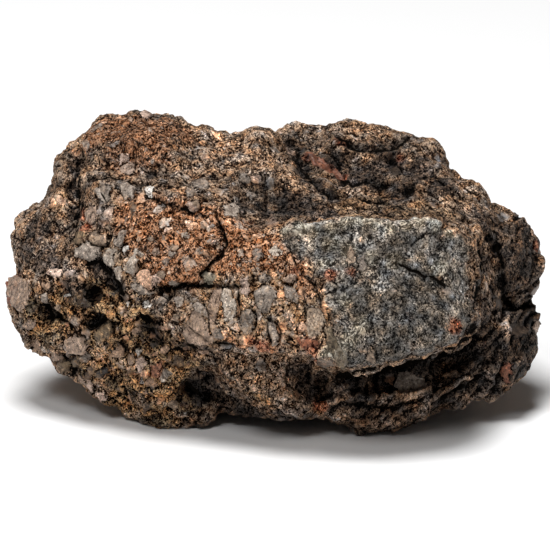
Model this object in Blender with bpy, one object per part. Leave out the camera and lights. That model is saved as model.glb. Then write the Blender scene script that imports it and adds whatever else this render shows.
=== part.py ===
"""An agatized coprolite: one loose natural stone, a knobbly loaf of pebbly and agatized rock.

The stone is drawn on a sketch plane that leans back by LEAN, as a closed relief. OUTLINE is the edge
that the plane sees. FRONT and BACK hold the named ridges and hollows of the two sides, as points
(u, v, w): u to the right, v up the plane and w out of it, in sketch millimetres. The relief is closed
into a solid, filled with even cells, roughened, thinned to a faceted solid and cut flat below, where
it rests on three low feet. +Z is up, -Y is the front, and the origin is on the floor under the middle.
"""
import math

import bmesh
import bpy
from mathutils import Vector, noise
from mathutils.geometry import delaunay_2d_cdt, intersect_point_line

NODE = "coprolite"
LENGTH = 0.1515               # along X, over the two end knobs
LEAN = math.radians(20)       # how far the sketch plane leans back
FLOOR = -37.9                 # height of the cut under the feet, in sketch millimetres
CELL = 0.00125                # size of the even cells that the relief is filled with
SOFTEN = 3                    # passes of smoothing before the surface is roughened
SOFTEN_FACTOR = 0.5           # how far each pass moves a vertex towards its neighbours
FACETS = 9300                 # triangles left after thinning
SHARP_ANGLE = math.radians(40)

# Heights of the roughness, in metres
FULLNESS = 0.00045            # all over, which makes up for what softening takes off
SWELL = 0.0042                # broad lumps of the hidden back
CHUNK = 0.0014                # angular chunks all over
BACK_CHUNK = 0.0014           # larger chunks of the hidden back
PEBBLE = 0.0022               # rounded pebbles of the pebbly end
SHARD = 0.0013                # upright shards of the orange face
LAYER = 0.0011                # thin ledges of the layered parts
PIT = 0.0022                  # holes between the pebbles
GRAIN = 0.00105               # coarse grain all over

# Widths of the same, in sketch millimetres
SWELL_SPAN = 24.0
CHUNK_SPAN = 11.0
BACK_CHUNK_SPAN = 17.0
PEBBLE_SPAN = (7.0, 7.0, 6.0)
SHARD_SPAN = (5.5, 7.0, 11.0)
LAYER_SPAN = 4.2
PIT_SPAN = 13.0
GRAIN_SPAN = 3.6

# Shares of the roughness
LEVEL = 0.3                   # of a lump or a ledge that lies below the plain form
CALM_SHARE = 0.35             # of the chunks and pits, where the stone is calm
FINE_SHARE = 0.45             # of the chunks, where it is pebbly or sharded
PIT_SHARE = 0.25              # of the pits, where it isn't pebbly
HIDDEN = (2.0, 16.0)          # depths behind the sketch plane from which to which the back begins

OUTLINE = [
    (-61, 35.5, -8), (-58.5, 37, -7), (-55.5, 37.5, -6), (-53.5, 41.5, -6), (-50, 44, -6),
    (-45.5, 45, -6), (-41, 45.5, -6), (-36, 45.5, -6), (-31, 44.5, -7), (-26, 43.5, -8),
    (-21, 42, -8), (-17, 41, -8), (-12, 40.5, -8), (-8.5, 41.5, -7), (-5, 42.5, -7), (-1, 41.5, -10),
    (3, 42.5, -14), (7, 43.5, -16), (13, 43.5, -17), (20, 43.5, -17), (24.5, 42, -17), (31, 40, -17),
    (35.5, 39.5, -16), (40.5, 39.5, -15), (46, 40, -14), (48.5, 36, -13), (49.5, 31.5, -12),
    (52.5, 28.5, -10), (54, 26.5, -9), (58, 24.5, -8), (60, 21, -8), (64, 18.5, -8), (67, 17, -8),
    (70.5, 15.5, -8), (74, 14, -8), (75, 8.5, -7), (76, 1, -6), (75, -4, -5), (73, -6.5, -5),
    (73, -8.5, -5), (74.5, -15.5, -5), (73, -19, -4), (72.5, -21.5, -4), (71, -25.5, -3),
    (67, -29, -2), (63, -32, 0), (60.5, -35, 1), (56, -36.5, 3), (52, -38, 5), (46, -39, 7),
    (40.5, -41, 9), (37, -44, 10), (31.5, -46, 11), (25, -47, 12), (21, -46, 12), (18.5, -42, 12),
    (15.5, -40.5, 12), (7, -41, 12), (-2, -41, 12), (-10, -40, 11), (-15.5, -40.5, 10),
    (-20, -42, 9), (-25, -44.5, 8), (-31, -45, 8), (-36, -44, 7), (-41.5, -40, 5), (-47.5, -36.5, 4),
    (-53, -32, 3), (-58, -28.5, 2), (-63, -25, 1), (-68, -22, 0), (-72, -18, -1),
    (-75, -12.5, -2), (-76.5, -6.5, -2), (-76, -2, -3), (-73, 0.5, -4), (-74, 5.5, -5),
    (-74.5, 10.5, -6), (-72, 15, -7), (-67, 19.5, -8), (-63, 24, -9), (-62.5, 29.5, -9),
]

FRONT = {
    "dome top": [(-53, 38, 1), (-47, 41, 3), (-38, 43, 4), (-29, 41, 3), (-22, 39, 2)],
    "dome brow": [(-53, 35, 6), (-47, 37, 9), (-38, 37, 12), (-30, 36, 12), (-21, 35, 9), (-15, 34, 6)],
    "dome foot": [(-51, 30, 11), (-43, 30, 14), (-35, 29, 16), (-27, 29, 16), (-20, 29, 15), (-13, 29, 14)],
    "upper left bench": [(-52, 22, 15), (-46, 21, 21), (-38, 20, 25), (-29, 20, 27), (-22, 20, 27)],
    "saddle": [(-12, 36, 3), (-7, 37, 3), (-3, 37, 2), (1, 34, 2)],
    "saddle ridge": [(-13, 29, 14), (-6, 30, 14), (0, 29, 14), (4, 27, 16), (8, 25, 18), (13, 22, 20),
                     (16, 19, 23)],
    "valley": [(1, 39, -10), (4, 35, -6), (7, 32, -3), (10, 28, 0), (14, 25, 5), (18, 21, 11), (22, 18, 17)],
    "dark hollow": [(-14, 22, 22), (-8, 20, 21), (-2, 18, 21), (4, 18, 21), (10, 17, 25)],
    "spine": [(-22, 20, 27), (-15, 17, 30), (-10, 14, 32), (-6, 11, 34), (-1, 9, 36), (4, 6, 38)],
    "crack": [(-19, 18, 29), (-16, 13, 31), (-16, 8, 33), (-18, 3, 34), (-20, -3, 35)],
    "plate foot": [(-46, 4, 25), (-41, -1, 28), (-34, -5, 32), (-27, -4, 35), (-20, -3, 35), (-12, -4, 36)],
    "plate left": [(-52, 22, 15), (-49, 14, 20), (-48, 8, 22), (-46, 4, 25)],
    "plate middle": [(-38, 14, 28), (-31, 8, 31), (-24, 11, 31), (-27, 3, 34)],
    "face ridge": [(4, 6, 38), (8, -1, 40), (13, -9, 42), (16, -16, 43), (20, -22, 43)],
    "orange face": [(-8, 4, 36), (-4, -7, 38), (-11, -13, 36), (4, -10, 40), (0, -17, 40)],
    "lip": [(-24, -21, 30), (-20, -21, 33), (-15, -21, 35), (-10, -20, 37), (-4, -21, 39), (3, -21, 41),
            (10, -22, 42), (15, -23, 43), (21, -26, 43), (25, -25, 43), (35, -23, 43), (43, -21, 41),
            (50, -19, 38), (55, -14, 32)],
    "under the lip": [(-24, -24, 24), (-16, -24, 25), (-10, -22, 30), (-3, -23, 30), (3, -23, 28),
                      (10, -24, 25), (20, -29, 22), (26, -28, 17), (35, -26, 15), (43, -24, 14),
                      (50, -21, 13), (56, -17, 13)],
    "crest": [(-4, 10, 32), (2, 13, 33), (8, 13, 34), (13, 13, 35), (20, 15, 34), (25, 15, 34), (31, 14, 35),
              (36, 13, 35), (42, 15, 33), (47, 13, 32), (52, 11, 30), (56, 7, 25)],
    "upper grey face": [(12, 7, 36), (21, 8, 36), (31, 6, 37), (41, 7, 35), (48, 5, 32)],
    "middle grey face": [(18, -3, 41), (28, -2, 38), (39, 0, 36), (49, -4, 33)],
    "lower grey face": [(24, -14, 43), (34, -12, 42), (43, -11, 41), (50, -11, 37)],
    "right of the grey face": [(56, 7, 24), (55, -1, 27), (55, -8, 27), (55, -14, 32)],
    "back of the bench": [(18, 24, 7), (24, 22, 9), (32, 21, 10), (41, 22, 11), (48, 24, 8)],
    "front of the bench": [(15, 16, 25), (22, 18, 19), (31, 18, 20), (41, 18, 20), (49, 17, 18), (55, 15, 13)],
    "mound top": [(6, 39, -10), (14, 40, -11), (22, 40, -11), (31, 38, -11), (38, 37, -10), (43, 36, -8)],
    "mound left": [(8, 36, -7), (10, 32, -3), (15, 29, 1), (20, 26, 4)],
    "mound brow": [(17, 36, -4), (24, 35, -3), (32, 35, -3), (38, 35, -3), (44, 33, -3)],
    "mound hollow": [(22, 31, -3), (30, 31, -3), (37, 31, -3)],
    "mound middle": [(20, 26, 4), (27, 26, 6), (34, 27, 5), (42, 29, 2), (48, 28, 0)],
    "right shoulder": [(52, 25, 0), (56, 22, 3), (60, 18, 2)],
    "knob top": [(63, 16, 1), (67, 15, 1), (71, 12, 0)],
    "knob face": [(64, 10, 8), (69, 8, 6), (72, 4, 3), (71, -2, 4), (65, 1, 9), (65, -5, 8)],
    "right gully": [(57, 14, 10), (59, 8, 7), (60, 3, 6), (61, -3, 6), (63, -8, 3), (68, -7, 0)],
    "gully side": [(56, 7, 24), (58, 1, 16), (59, -7, 16), (57, -13, 17)],
    "rim": [(61, -9, 11), (60, -15, 13), (58, -22, 14), (54, -27, 15), (48, -32, 17), (39, -34, 19),
            (29, -35, 20), (20, -36, 21)],
    "lower right lobe": [(69, -12, 3), (67, -19, 5), (63, -24, 7), (57, -31, 9), (50, -35, 12)],
    "recess": [(24, -32, 15), (29, -30, 13), (36, -32, 15), (43, -29, 13), (50, -25, 10), (54, -21, 9)],
    "boss": [(34, -29, 18), (40, -28, 18)],
    "right foot": [(24, -41, 18), (32, -40, 18), (41, -38, 17)],
    "nose edge": [(-16, -24, 27), (-14, -27, 30), (-9, -31, 31), (-4, -32, 31), (1, -33, 30), (5, -36, 27),
                  (9, -38, 23)],
    "nose face": [(-8, -26, 33), (-2, -27, 32)],
    "nose right": [(3, -23, 28), (2, -27, 29), (1, -33, 30)],
    "right hollow": [(7, -27, 18), (12, -31, 16), (10, -34, 17)],
    "rib": [(20, -29, 24), (18, -33, 25), (15, -37, 20)],
    "left hollow": [(-20, -27, 14), (-15, -32, 12), (-10, -36, 12)],
    "left gully": [(-54, 33, 0), (-55, 29, 0), (-56, 24, 3), (-56, 19, 6), (-57, 14, 9), (-60, 10, 10)],
    "gully right side": [(-52, 31, 8), (-53, 26, 12), (-53, 20, 15), (-53, 14, 17), (-55, 10, 18)],
    "left shoulder": [(-59, 33, -1), (-60, 28, 2), (-62, 22, 4), (-65, 17, 4), (-69, 12, 3)],
    "left flank": [(-70, 7, 4), (-64, 8, 8), (-60, 4, 13)],
    "left knob": [(-72, -4, 6), (-69, -3, 9), (-70, -10, 8), (-66, -9, 11)],
    "left low": [(-61, -4, 15), (-53, 1, 19), (-62, -15, 13), (-55, -11, 19), (-67, -17, 7)],
    "band": [(-46, -7, 24), (-38, -12, 28), (-29, -12, 31), (-21, -12, 35)],
    "pebbly end": [(-56, -22, 12), (-48, -18, 20), (-38, -22, 23), (-28, -21, 28), (-46, -28, 14),
                   (-36, -31, 17), (-27, -31, 19), (-35, -38, 13), (-25, -38, 13)],
}

BACK = {
    "back top": [(-46, 31, -21), (-29, 33, -26), (-13, 30, -29), (7, 33, -33), (27, 32, -34), (43, 27, -26)],
    "back ledge": [(-60, 18, -20), (-48, 15, -32), (-32, 15, -41), (-14, 13, -45), (3, 15, -47), (20, 13, -48),
                   (38, 12, -43), (55, 11, -31), (66, 8, -17)],
    "foot of the ledge": [(-47, 9, -31), (-31, 8, -37), (-14, 6, -41), (3, 9, -42), (21, 6, -44), (38, 5, -38),
                          (54, 4, -28)],
    "back belly": [(-65, -3, -16), (-51, -5, -31), (-32, -6, -42), (-10, -4, -48), (14, -6, -49), (36, -7, -43),
                   (52, -7, -31), (65, -6, -17)],
    "back scoop": [(-6, -13, -41), (7, -14, -41)],
    "low back": [(-64, -13, -13), (-48, -16, -26), (-29, -18, -36), (-10, -21, -42), (10, -22, -42),
                 (29, -20, -38), (48, -18, -28), (63, -15, -15)],
    "underside": [(-48, -27, -12), (-31, -32, -18), (-17, -30, -27), (-7, -31, -31), (8, -31, -31),
                  (21, -30, -26), (35, -31, -20), (50, -28, -16)],
    "arch between the feet": [(-24, -34.5, -6), (-4, -34, -8), (14, -34, -8), (27, -35.5, -6), (40, -34, -7)],
}

# Open cracks: the lines that they follow, and their half width and depth in sketch millimetres
CRACKS = [
    ([(-20, 19, 28), (-17, 14, 31), (-15.5, 9, 33), (-16.5, 4, 34), (-19.5, -2, 35)], 1.3, 2.2),
    ([(-36, -7, 31), (-33, -4.5, 32), (-27, -3.5, 34), (-20, -3, 35)], 1.5, 2.4),
    ([(-19.5, -2, 35), (-18, -9, 36), (-17, -15, 35)], 1.2, 1.4),
    ([(-53, 30, 9), (-43, 29.5, 15), (-36, 29, 16)], 1.3, 1.6),
    ([(-57, 31, 1), (-56, 24, 3), (-56.5, 18, 6), (-57, 12, 9)], 1.8, 3.0),
    ([(-64, 12, 6), (-58, 8, 12), (-52, 5, 18)], 1.3, 1.5),
]

# Where the surface is of one kind: centres of soft balls and their radii, in sketch millimetres
PEBBLY = [((-58, -8, 10), 22), ((-44, -24, 14), 22), ((-26, -32, 15), 18), ((-48, -44, 0), 16),
          ((-40, -14, 22), 15), ((-40, 0, -34), 22), ((20, -6, -44), 20)]
SHARDED = [((-6, -6, 38), 19), ((4, -15, 40), 14), ((-36, 27, 16), 13)]
CALM = [((30, -3, 38), 25), ((44, -5, 36), 17), ((-28, 8, 31), 14)]
LAYERED = [((35, 19, 20), 17), ((60, -28, 8), 20), ((40, -40, 12), 18), ((18, -37, 14), 14),
           ((66, -10, 0), 15), ((48, 8, -30), 22), ((-20, 24, -36), 20)]


def in_space(u, v, w):
    """Return the point of space, in sketch millimetres, of a point given on the leaning plane."""
    return Vector((u,
                   v * math.sin(LEAN) - w * math.cos(LEAN),
                   v * math.cos(LEAN) + w * math.sin(LEAN)))


def relief_sheet(lines):
    """Return corners (u, v, w) and triangles of one side: the outline filled, with the lines as edges."""
    corners = {}
    edges = []
    for line in [OUTLINE + OUTLINE[:1]] + list(lines):
        places = [corners.setdefault(point, len(corners)) for point in line]
        edges += list(zip(places, places[1:]))
    points = list(corners)
    rim = list(range(len(OUTLINE)))[::-1]
    flat = [Vector(point[:2]) for point in points]
    places, _, faces, sources, _, _ = delaunay_2d_cdt(flat, edges, [rim], 1, 1e-5)
    solved = []
    for place, source in zip(places, sources):
        if source:
            depth = points[source[0]][2]
        else:
            nearest = sorted(points, key=lambda point: (Vector(point[:2]) - place).length)[:2]
            depth = sum(point[2] for point in nearest) / 2
        solved.append((place.x, place.y, depth))
    return solved, faces


def closed_relief():
    """Return a mesh of the plain form: the front and back sheets, which share the outline's corners."""
    form = bmesh.new()
    shared = {}

    def corner(point):
        key = tuple(round(value, 3) for value in point)
        if key not in shared:
            shared[key] = form.verts.new(in_space(*point))
        return shared[key]

    for lines, turn in ((FRONT, 1), (BACK, -1)):
        points, faces = relief_sheet(lines.values())
        for face in faces:
            form.faces.new([corner(points[place]) for place in face][::turn])
    bmesh.ops.recalc_face_normals(form, faces=form.faces)
    bmesh.ops.triangulate(form, faces=form.faces)
    mesh = bpy.data.meshes.new(NODE)
    form.to_mesh(mesh)
    form.free()
    return mesh


def apply_modifiers(stone):
    """Give the stone the mesh that its modifiers make, and take the modifiers off."""
    evaluated = stone.evaluated_get(bpy.context.evaluated_depsgraph_get())
    made = bpy.data.meshes.new_from_object(evaluated)
    stone.modifiers.clear()
    stone.data = made


def even_cells(stone):
    """Fill the plain form with even cells, so that the surface can be roughened, and soften its edges."""
    remesh = stone.modifiers.new("even cells", "REMESH")
    remesh.mode = "VOXEL"
    remesh.voxel_size = CELL
    soften = stone.modifiers.new("soften", "SMOOTH")
    soften.factor = SOFTEN_FACTOR
    soften.iterations = SOFTEN
    apply_modifiers(stone)


def share(place, balls):
    """Return how much of a zone's kind of surface, 0 to 1, is found at a place."""
    most = 0.0
    for centre, radius in balls:
        away = (place - in_space(*centre)).length / radius
        most = max(most, 1 - away)
    return min(1.0, 2.2 * most)


def between(value, low, high):
    """Return 0 below low, 1 above high and a smooth rise between them."""
    part = min(1.0, max(0.0, (value - low) / (high - low)))
    return part * part * (3 - 2 * part)


def bent(place, reach, span):
    """Return a place moved by smooth noise, so that a pattern read there has ragged borders."""
    return place + reach * noise.noise_vector(place / span)


def lump(place, spans):
    """Return 0 to 1: round lumps packed side by side, with a crevice between neighbours."""
    warped = bent(place, 1.5, 6)
    spot = Vector([along / span for along, span in zip(warped, spans)])
    distances, _ = noise.voronoi(spot)
    dome = max(0.0, 1 - (distances[0] / 0.85) ** 2)
    return dome * between(distances[1] - distances[0], -0.05, 0.3)


def chunk(place, span):
    """Return -0.5 to 0.8: angular chunks with a crease between neighbours, 0 on the whole."""
    warped = bent(place, 2.0, span)
    distances, _ = noise.voronoi(warped / span)
    return 2.6 * min(0.5, distances[1] - distances[0]) - 0.5


def ledge(place):
    """Return 0 to 1: thin layers that step in and out, one above another, and fade away sideways."""
    wander = 7.0 * noise.noise(place / 16)
    height = (place.z + 0.3 * place.x + wander) / LAYER_SPAN
    part = height % 1
    strength = between(noise.noise(place / 9 + Vector((4, 4, 4))), -0.35, 0.3)
    return strength * (between(part, 0.0, 0.75) - between(part, 0.8, 1.0))


def pit(place):
    """Return 0 to 1: scattered ragged holes."""
    warped = bent(place, 3.0, 5)
    distances, _ = noise.voronoi(warped / PIT_SPAN + Vector((7, 3, 5)))
    return 1 - between(distances[0], 0.08, 0.34)


def crack_depth(place):
    """Return the depth of the open cracks at a place, in sketch millimetres."""
    deepest = 0.0
    for line, half_width, depth in CRACKS:
        points = [in_space(*point) for point in line]
        for start, end in zip(points, points[1:]):
            nearest, along = intersect_point_line(place, start, end)
            nearest = start.lerp(end, min(1.0, max(0.0, along)))
            away = (place - nearest).length
            reach = half_width + 2.5
            deepest = max(deepest, depth * (1 - between(away, 0.0, reach)))
    return deepest


def roughness(place, depth):
    """Return how far the surface stands out, in metres, at a place in sketch millimetres."""
    hidden = between(-depth, *HIDDEN)
    pebbly = share(place, PEBBLY)
    sharded = share(place, SHARDED)
    layered = share(place, LAYERED)
    plain = max(0.0, 1 - pebbly - sharded)
    rough = 1 - (1 - CALM_SHARE) * share(place, CALM)
    height = FULLNESS + SWELL * hidden * noise.noise(place / SWELL_SPAN)
    height += CHUNK * rough * chunk(place, CHUNK_SPAN) * (FINE_SHARE + (1 - FINE_SHARE) * plain)
    height += BACK_CHUNK * hidden * chunk(place, BACK_CHUNK_SPAN)
    height += PEBBLE * pebbly * (lump(place, PEBBLE_SPAN) - LEVEL)
    height += SHARD * rough * sharded * (lump(place, SHARD_SPAN) - LEVEL)
    height += LAYER * layered * (ledge(place) - LEVEL)
    height -= PIT * rough * pit(place) * (PIT_SHARE + (1 - PIT_SHARE) * pebbly)
    height += GRAIN * noise.noise(place / GRAIN_SPAN)
    return height - 0.001 * crack_depth(place)


def roughen(stone, scale):
    """Push each vertex of the stone out or in along its normal."""
    lean_axis = in_space(0, 0, 1)
    mesh = stone.data
    moved = []
    for vertex in mesh.vertices:
        place = vertex.co / scale
        moved.append(vertex.co + vertex.normal * roughness(place, place.dot(lean_axis)))
    for vertex, place in zip(mesh.vertices, moved):
        vertex.co = place


def thin(stone):
    """Thin the fine mesh to a faceted solid that keeps the lumps, ledges and cracks."""
    decimate = stone.modifiers.new("thin", "DECIMATE")
    decimate.ratio = FACETS / (2 * len(stone.data.polygons))
    decimate.use_collapse_triangulate = True
    apply_modifiers(stone)


def cut_feet(stone, height):
    """Cut the stone flat at a height, and fill the feet that are cut."""
    form = bmesh.new()
    form.from_mesh(stone.data)
    everything = form.verts[:] + form.edges[:] + form.faces[:]
    cut = bmesh.ops.bisect_plane(form, geom=everything, dist=1e-6, plane_co=(0, 0, height),
                                 plane_no=(0, 0, 1), clear_inner=True)
    rim = [item for item in cut["geom_cut"] if isinstance(item, bmesh.types.BMEdge)]
    bmesh.ops.edgeloop_fill(form, edges=rim)
    bmesh.ops.triangulate(form, faces=form.faces)
    bmesh.ops.recalc_face_normals(form, faces=form.faces)
    form.to_mesh(stone.data)
    form.free()


def stand_on_origin(stone):
    """Move the stone's mesh so that the origin is on the floor under the middle of its box."""
    places = [vertex.co for vertex in stone.data.vertices]
    middle_x = (min(place.x for place in places) + max(place.x for place in places)) / 2
    middle_y = (min(place.y for place in places) + max(place.y for place in places)) / 2
    bottom = min(place.z for place in places)
    for vertex in stone.data.vertices:
        vertex.co -= Vector((middle_x, middle_y, bottom))


def stone_material():
    """Return the brown, dull finish of the stone."""
    material = bpy.data.materials.new("agatized stone")
    material.use_nodes = True
    shader = material.node_tree.nodes["Principled BSDF"]
    shader.inputs["Base Color"].default_value = (0.17, 0.115, 0.08, 1)
    shader.inputs["Roughness"].default_value = 0.62
    shader.inputs["Metallic"].default_value = 0.0
    return material


def build_stone():
    """Make the stone."""
    breadth = max(point[0] for point in OUTLINE) - min(point[0] for point in OUTLINE)
    scale = LENGTH / breadth
    stone = bpy.data.objects.new(NODE, closed_relief())
    bpy.context.scene.collection.objects.link(stone)
    for vertex in stone.data.vertices:
        vertex.co *= scale
    even_cells(stone)
    roughen(stone, scale)
    thin(stone)
    cut_feet(stone, FLOOR * scale)
    stand_on_origin(stone)
    stone.data.materials.clear()
    stone.data.materials.append(stone_material())
    stone.data.shade_smooth()
    stone.data.set_sharp_from_angle(angle=SHARP_ANGLE)


for leftover in list(bpy.data.objects):
    bpy.data.objects.remove(leftover)
build_stone()
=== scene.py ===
"""Looks of the agatized coprolite: one fine, broken skin with agate chips, cracks and folds."""
import math

import bpy
import numpy as np
from mathutils import Matrix, Vector, noise
from mathutils.bvhtree import BVHTree
from mathutils.kdtree import KDTree


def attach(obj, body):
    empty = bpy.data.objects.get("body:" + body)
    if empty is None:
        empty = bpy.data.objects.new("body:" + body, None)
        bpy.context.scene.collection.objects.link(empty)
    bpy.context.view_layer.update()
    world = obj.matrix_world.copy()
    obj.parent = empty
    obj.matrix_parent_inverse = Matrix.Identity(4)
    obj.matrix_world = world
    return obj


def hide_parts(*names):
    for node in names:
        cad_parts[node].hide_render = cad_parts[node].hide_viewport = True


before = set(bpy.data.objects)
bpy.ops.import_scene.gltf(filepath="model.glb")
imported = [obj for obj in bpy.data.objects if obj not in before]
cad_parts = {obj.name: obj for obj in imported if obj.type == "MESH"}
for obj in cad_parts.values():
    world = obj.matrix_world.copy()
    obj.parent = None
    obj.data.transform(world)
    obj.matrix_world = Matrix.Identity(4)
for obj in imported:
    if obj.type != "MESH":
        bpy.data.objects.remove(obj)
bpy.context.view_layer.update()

NODE = "coprolite"
BODY = "root"
MM = 0.001

# The camera and the picture, whose pixels place what is listed below
PICTURE = 550
ELEVATION = math.radians(20)
TARGET = Vector((0, 0, 0.0370))
DISTANCE = 2.0
FRAME_WIDTH = 0.154
SENSOR = 36.0
PIXEL = FRAME_WIDTH / PICTURE

# The floor and the light
FLOOR_HALF = 3.0
FLOOR_COLOUR = (0.93, 0.93, 0.93, 1)
FLOOR_ROUGHNESS = 0.9
WHITE = (1, 1, 1, 1)
SURROUNDINGS = 0.055
# Soft lights: place, size in metres and power in watts
LIGHTS = {
    "overhead": ((-0.12, -0.08, 1.4), 0.52, 21.2),
    "front": ((-0.42, -0.75, 1.25), 0.45, 6.3),
}

# The skin
SKIN = "stone_skin"
CELL = 0.00054
TRIANGLES = 192000
FACET_SOFTENING = 4
CHIP_SEED = 5
NOISE_SEED = 7          # the noise vectors depend on it

BRIGHTEST = 0.85        # the most light that any channel of a colour gives back
FAR = 9.0               # a distance in millimetres that stands for far away
BULGE_REACH = 3         # rounds of neighbours over which a vertex is judged to stand out

# How many of the large, middle and small broken pieces fit in a metre
LARGE, MIDDLE, SMALL = 330.0, 900.0, 3000.0

# Flakes and streaks: how they are turned, in radians, and how much they are stretched
FLOW_TURN = (0.5, 0.9, 0.3)
FLOW_STRETCH = (1.0, 1.0, 0.80)
STREAK_STRETCH = (1.0, 1.0, 0.45)

# Winding cracks: waves for each metre, and the width as a share of the noise's range
WINDING_CRACKS = ((210.0, 0.016), (480.0, 0.015))

# Warmer, paler and darker clasts, then darker and brighter clouds in each: where a random number or the
# noise begins to bring them and where they are whole, and what they multiply the colour by
CLAST_VARIANTS = (
    (0.60, 0.66, (1.15, 0.88, 0.70)), (0.82, 0.86, (1.7, 1.75, 1.8)), (0.20, 0.10, (0.42, 0.36, 0.30)),
)
CLOUDS = ((0.56, 0.34, (0.34, 0.30, 0.27)), (0.55, 0.70, (1.5, 1.5, 1.5)))
CRACKED_TINT = (0.22, 0.17, 0.14)
# Painted glints: how much brighter tiny specks are made, standing for the sparkle of shiny grains
PAINTED_GLINT_TINT = (1.8, 1.8, 1.8)
# Painted shade of tiny pits: how much darker their specks are made
PIT_SHADE_TINT = (0.30, 0.27, 0.25)
# The near black of open cracks: partly their dark fill, partly painted shade inside them
CRACK_FILL_AND_SHADE_COLOUR = (0.004, 0.003, 0.002, 1)

# Colours of each kind of surface: its dark gaps, partly the dark rock between grains and partly painted
# shade there, its middle and its bright grains
PALETTE = {
    "brown": ((0.009, 0.005, 0.003), (0.208, 0.122, 0.071), (0.64, 0.45, 0.285)),
    "orange": ((0.020, 0.008, 0.003), (0.435, 0.175, 0.068), (0.86, 0.47, 0.25)),
    "agate": ((0.016, 0.014, 0.012), (0.212, 0.188, 0.149), (0.42, 0.376, 0.303)),
    "cream": ((0.016, 0.008, 0.004), (0.480, 0.255, 0.112), (0.86, 0.58, 0.33)),
    "tan": ((0.003, 0.002, 0.0012), (0.170, 0.083, 0.033), (0.83, 0.515, 0.235)),
    # The dark and folded kinds lie in gullies, hollows, the recess under the ledge and underneath: partly
    # the stone's own dark colour, partly painted shade
    "dark": ((0.003, 0.0022, 0.0018), (0.056, 0.038, 0.027), (0.23, 0.165, 0.115)),
    "folded": ((0.003, 0.0022, 0.0018), (0.050, 0.033, 0.022), (0.25, 0.170, 0.110)),
    "laminae": ((0.010, 0.006, 0.003), (0.200, 0.112, 0.058), (0.60, 0.40, 0.225)),
    "pale": ((0.080, 0.070, 0.050), (0.360, 0.325, 0.240), (0.66, 0.60, 0.46)),
    "rust": ((0.022, 0.006, 0.003), (0.300, 0.080, 0.036), (0.64, 0.29, 0.15)),
}
# The kinds that lie over the brown rest, from the lowest to the topmost
LAYERS = ("tan", "orange", "cream", "agate", "laminae", "dark", "folded", "pale", "rust")

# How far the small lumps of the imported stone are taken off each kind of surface, and in how many rounds
CALM = {
    "brown": 0.6, "orange": 0.3, "cream": 0.5, "agate": 0.95, "tan": 0.0, "dark": 0.35, "folded": 0.85,
    "laminae": 0.3, "pale": 0.8, "rust": 0.5,
}
CALM_ROUNDS = 28

# How much the hue and the brightness wander over each kind of surface
UNEVEN = {
    "brown": (1.0, 1.0), "orange": (0.6, 0.32), "cream": (0.8, 0.7), "agate": (0.7, 1.35),
    "tan": (1.0, 1.7), "dark": (1.0, 1.0), "folded": (1.1, 1.0), "laminae": (0.8, 0.8), "pale": (0.5, 0.8),
    "rust": (0.6, 0.8),
}

# Clasts: the share of pieces that are smooth clasts, and their colour
CLASTS = {
    "brown": 0.07, "orange": 0.13, "cream": 0.38, "agate": 0.03, "tan": 0.14, "dark": 0.03, "folded": 0.02,
    "laminae": 0.0, "pale": 0.0, "rust": 0.1,
}
CLAST_TINTS = {
    "brown": (0.33, 0.275, 0.22), "orange": (0.44, 0.36, 0.28), "cream": (0.62, 0.47, 0.33),
    "agate": (0.34, 0.31, 0.26), "tan": (0.27, 0.18, 0.115), "dark": (0.14, 0.11, 0.085),
    "folded": (0.17, 0.115, 0.075), "laminae": (0.3, 0.2, 0.12), "pale": (0.5, 0.46, 0.36),
    "rust": (0.4, 0.14, 0.07),
}

# How glossy each kind of surface is, and how mottled rather than flaky. What isn't named is neither.
GLOSS = {"agate": 1.0, "pale": 1.0, "cream": 0.6}
MOTTLE = {"agate": 1.0, "dark": 0.6, "folded": 0.6, "brown": 0.5}

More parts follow.
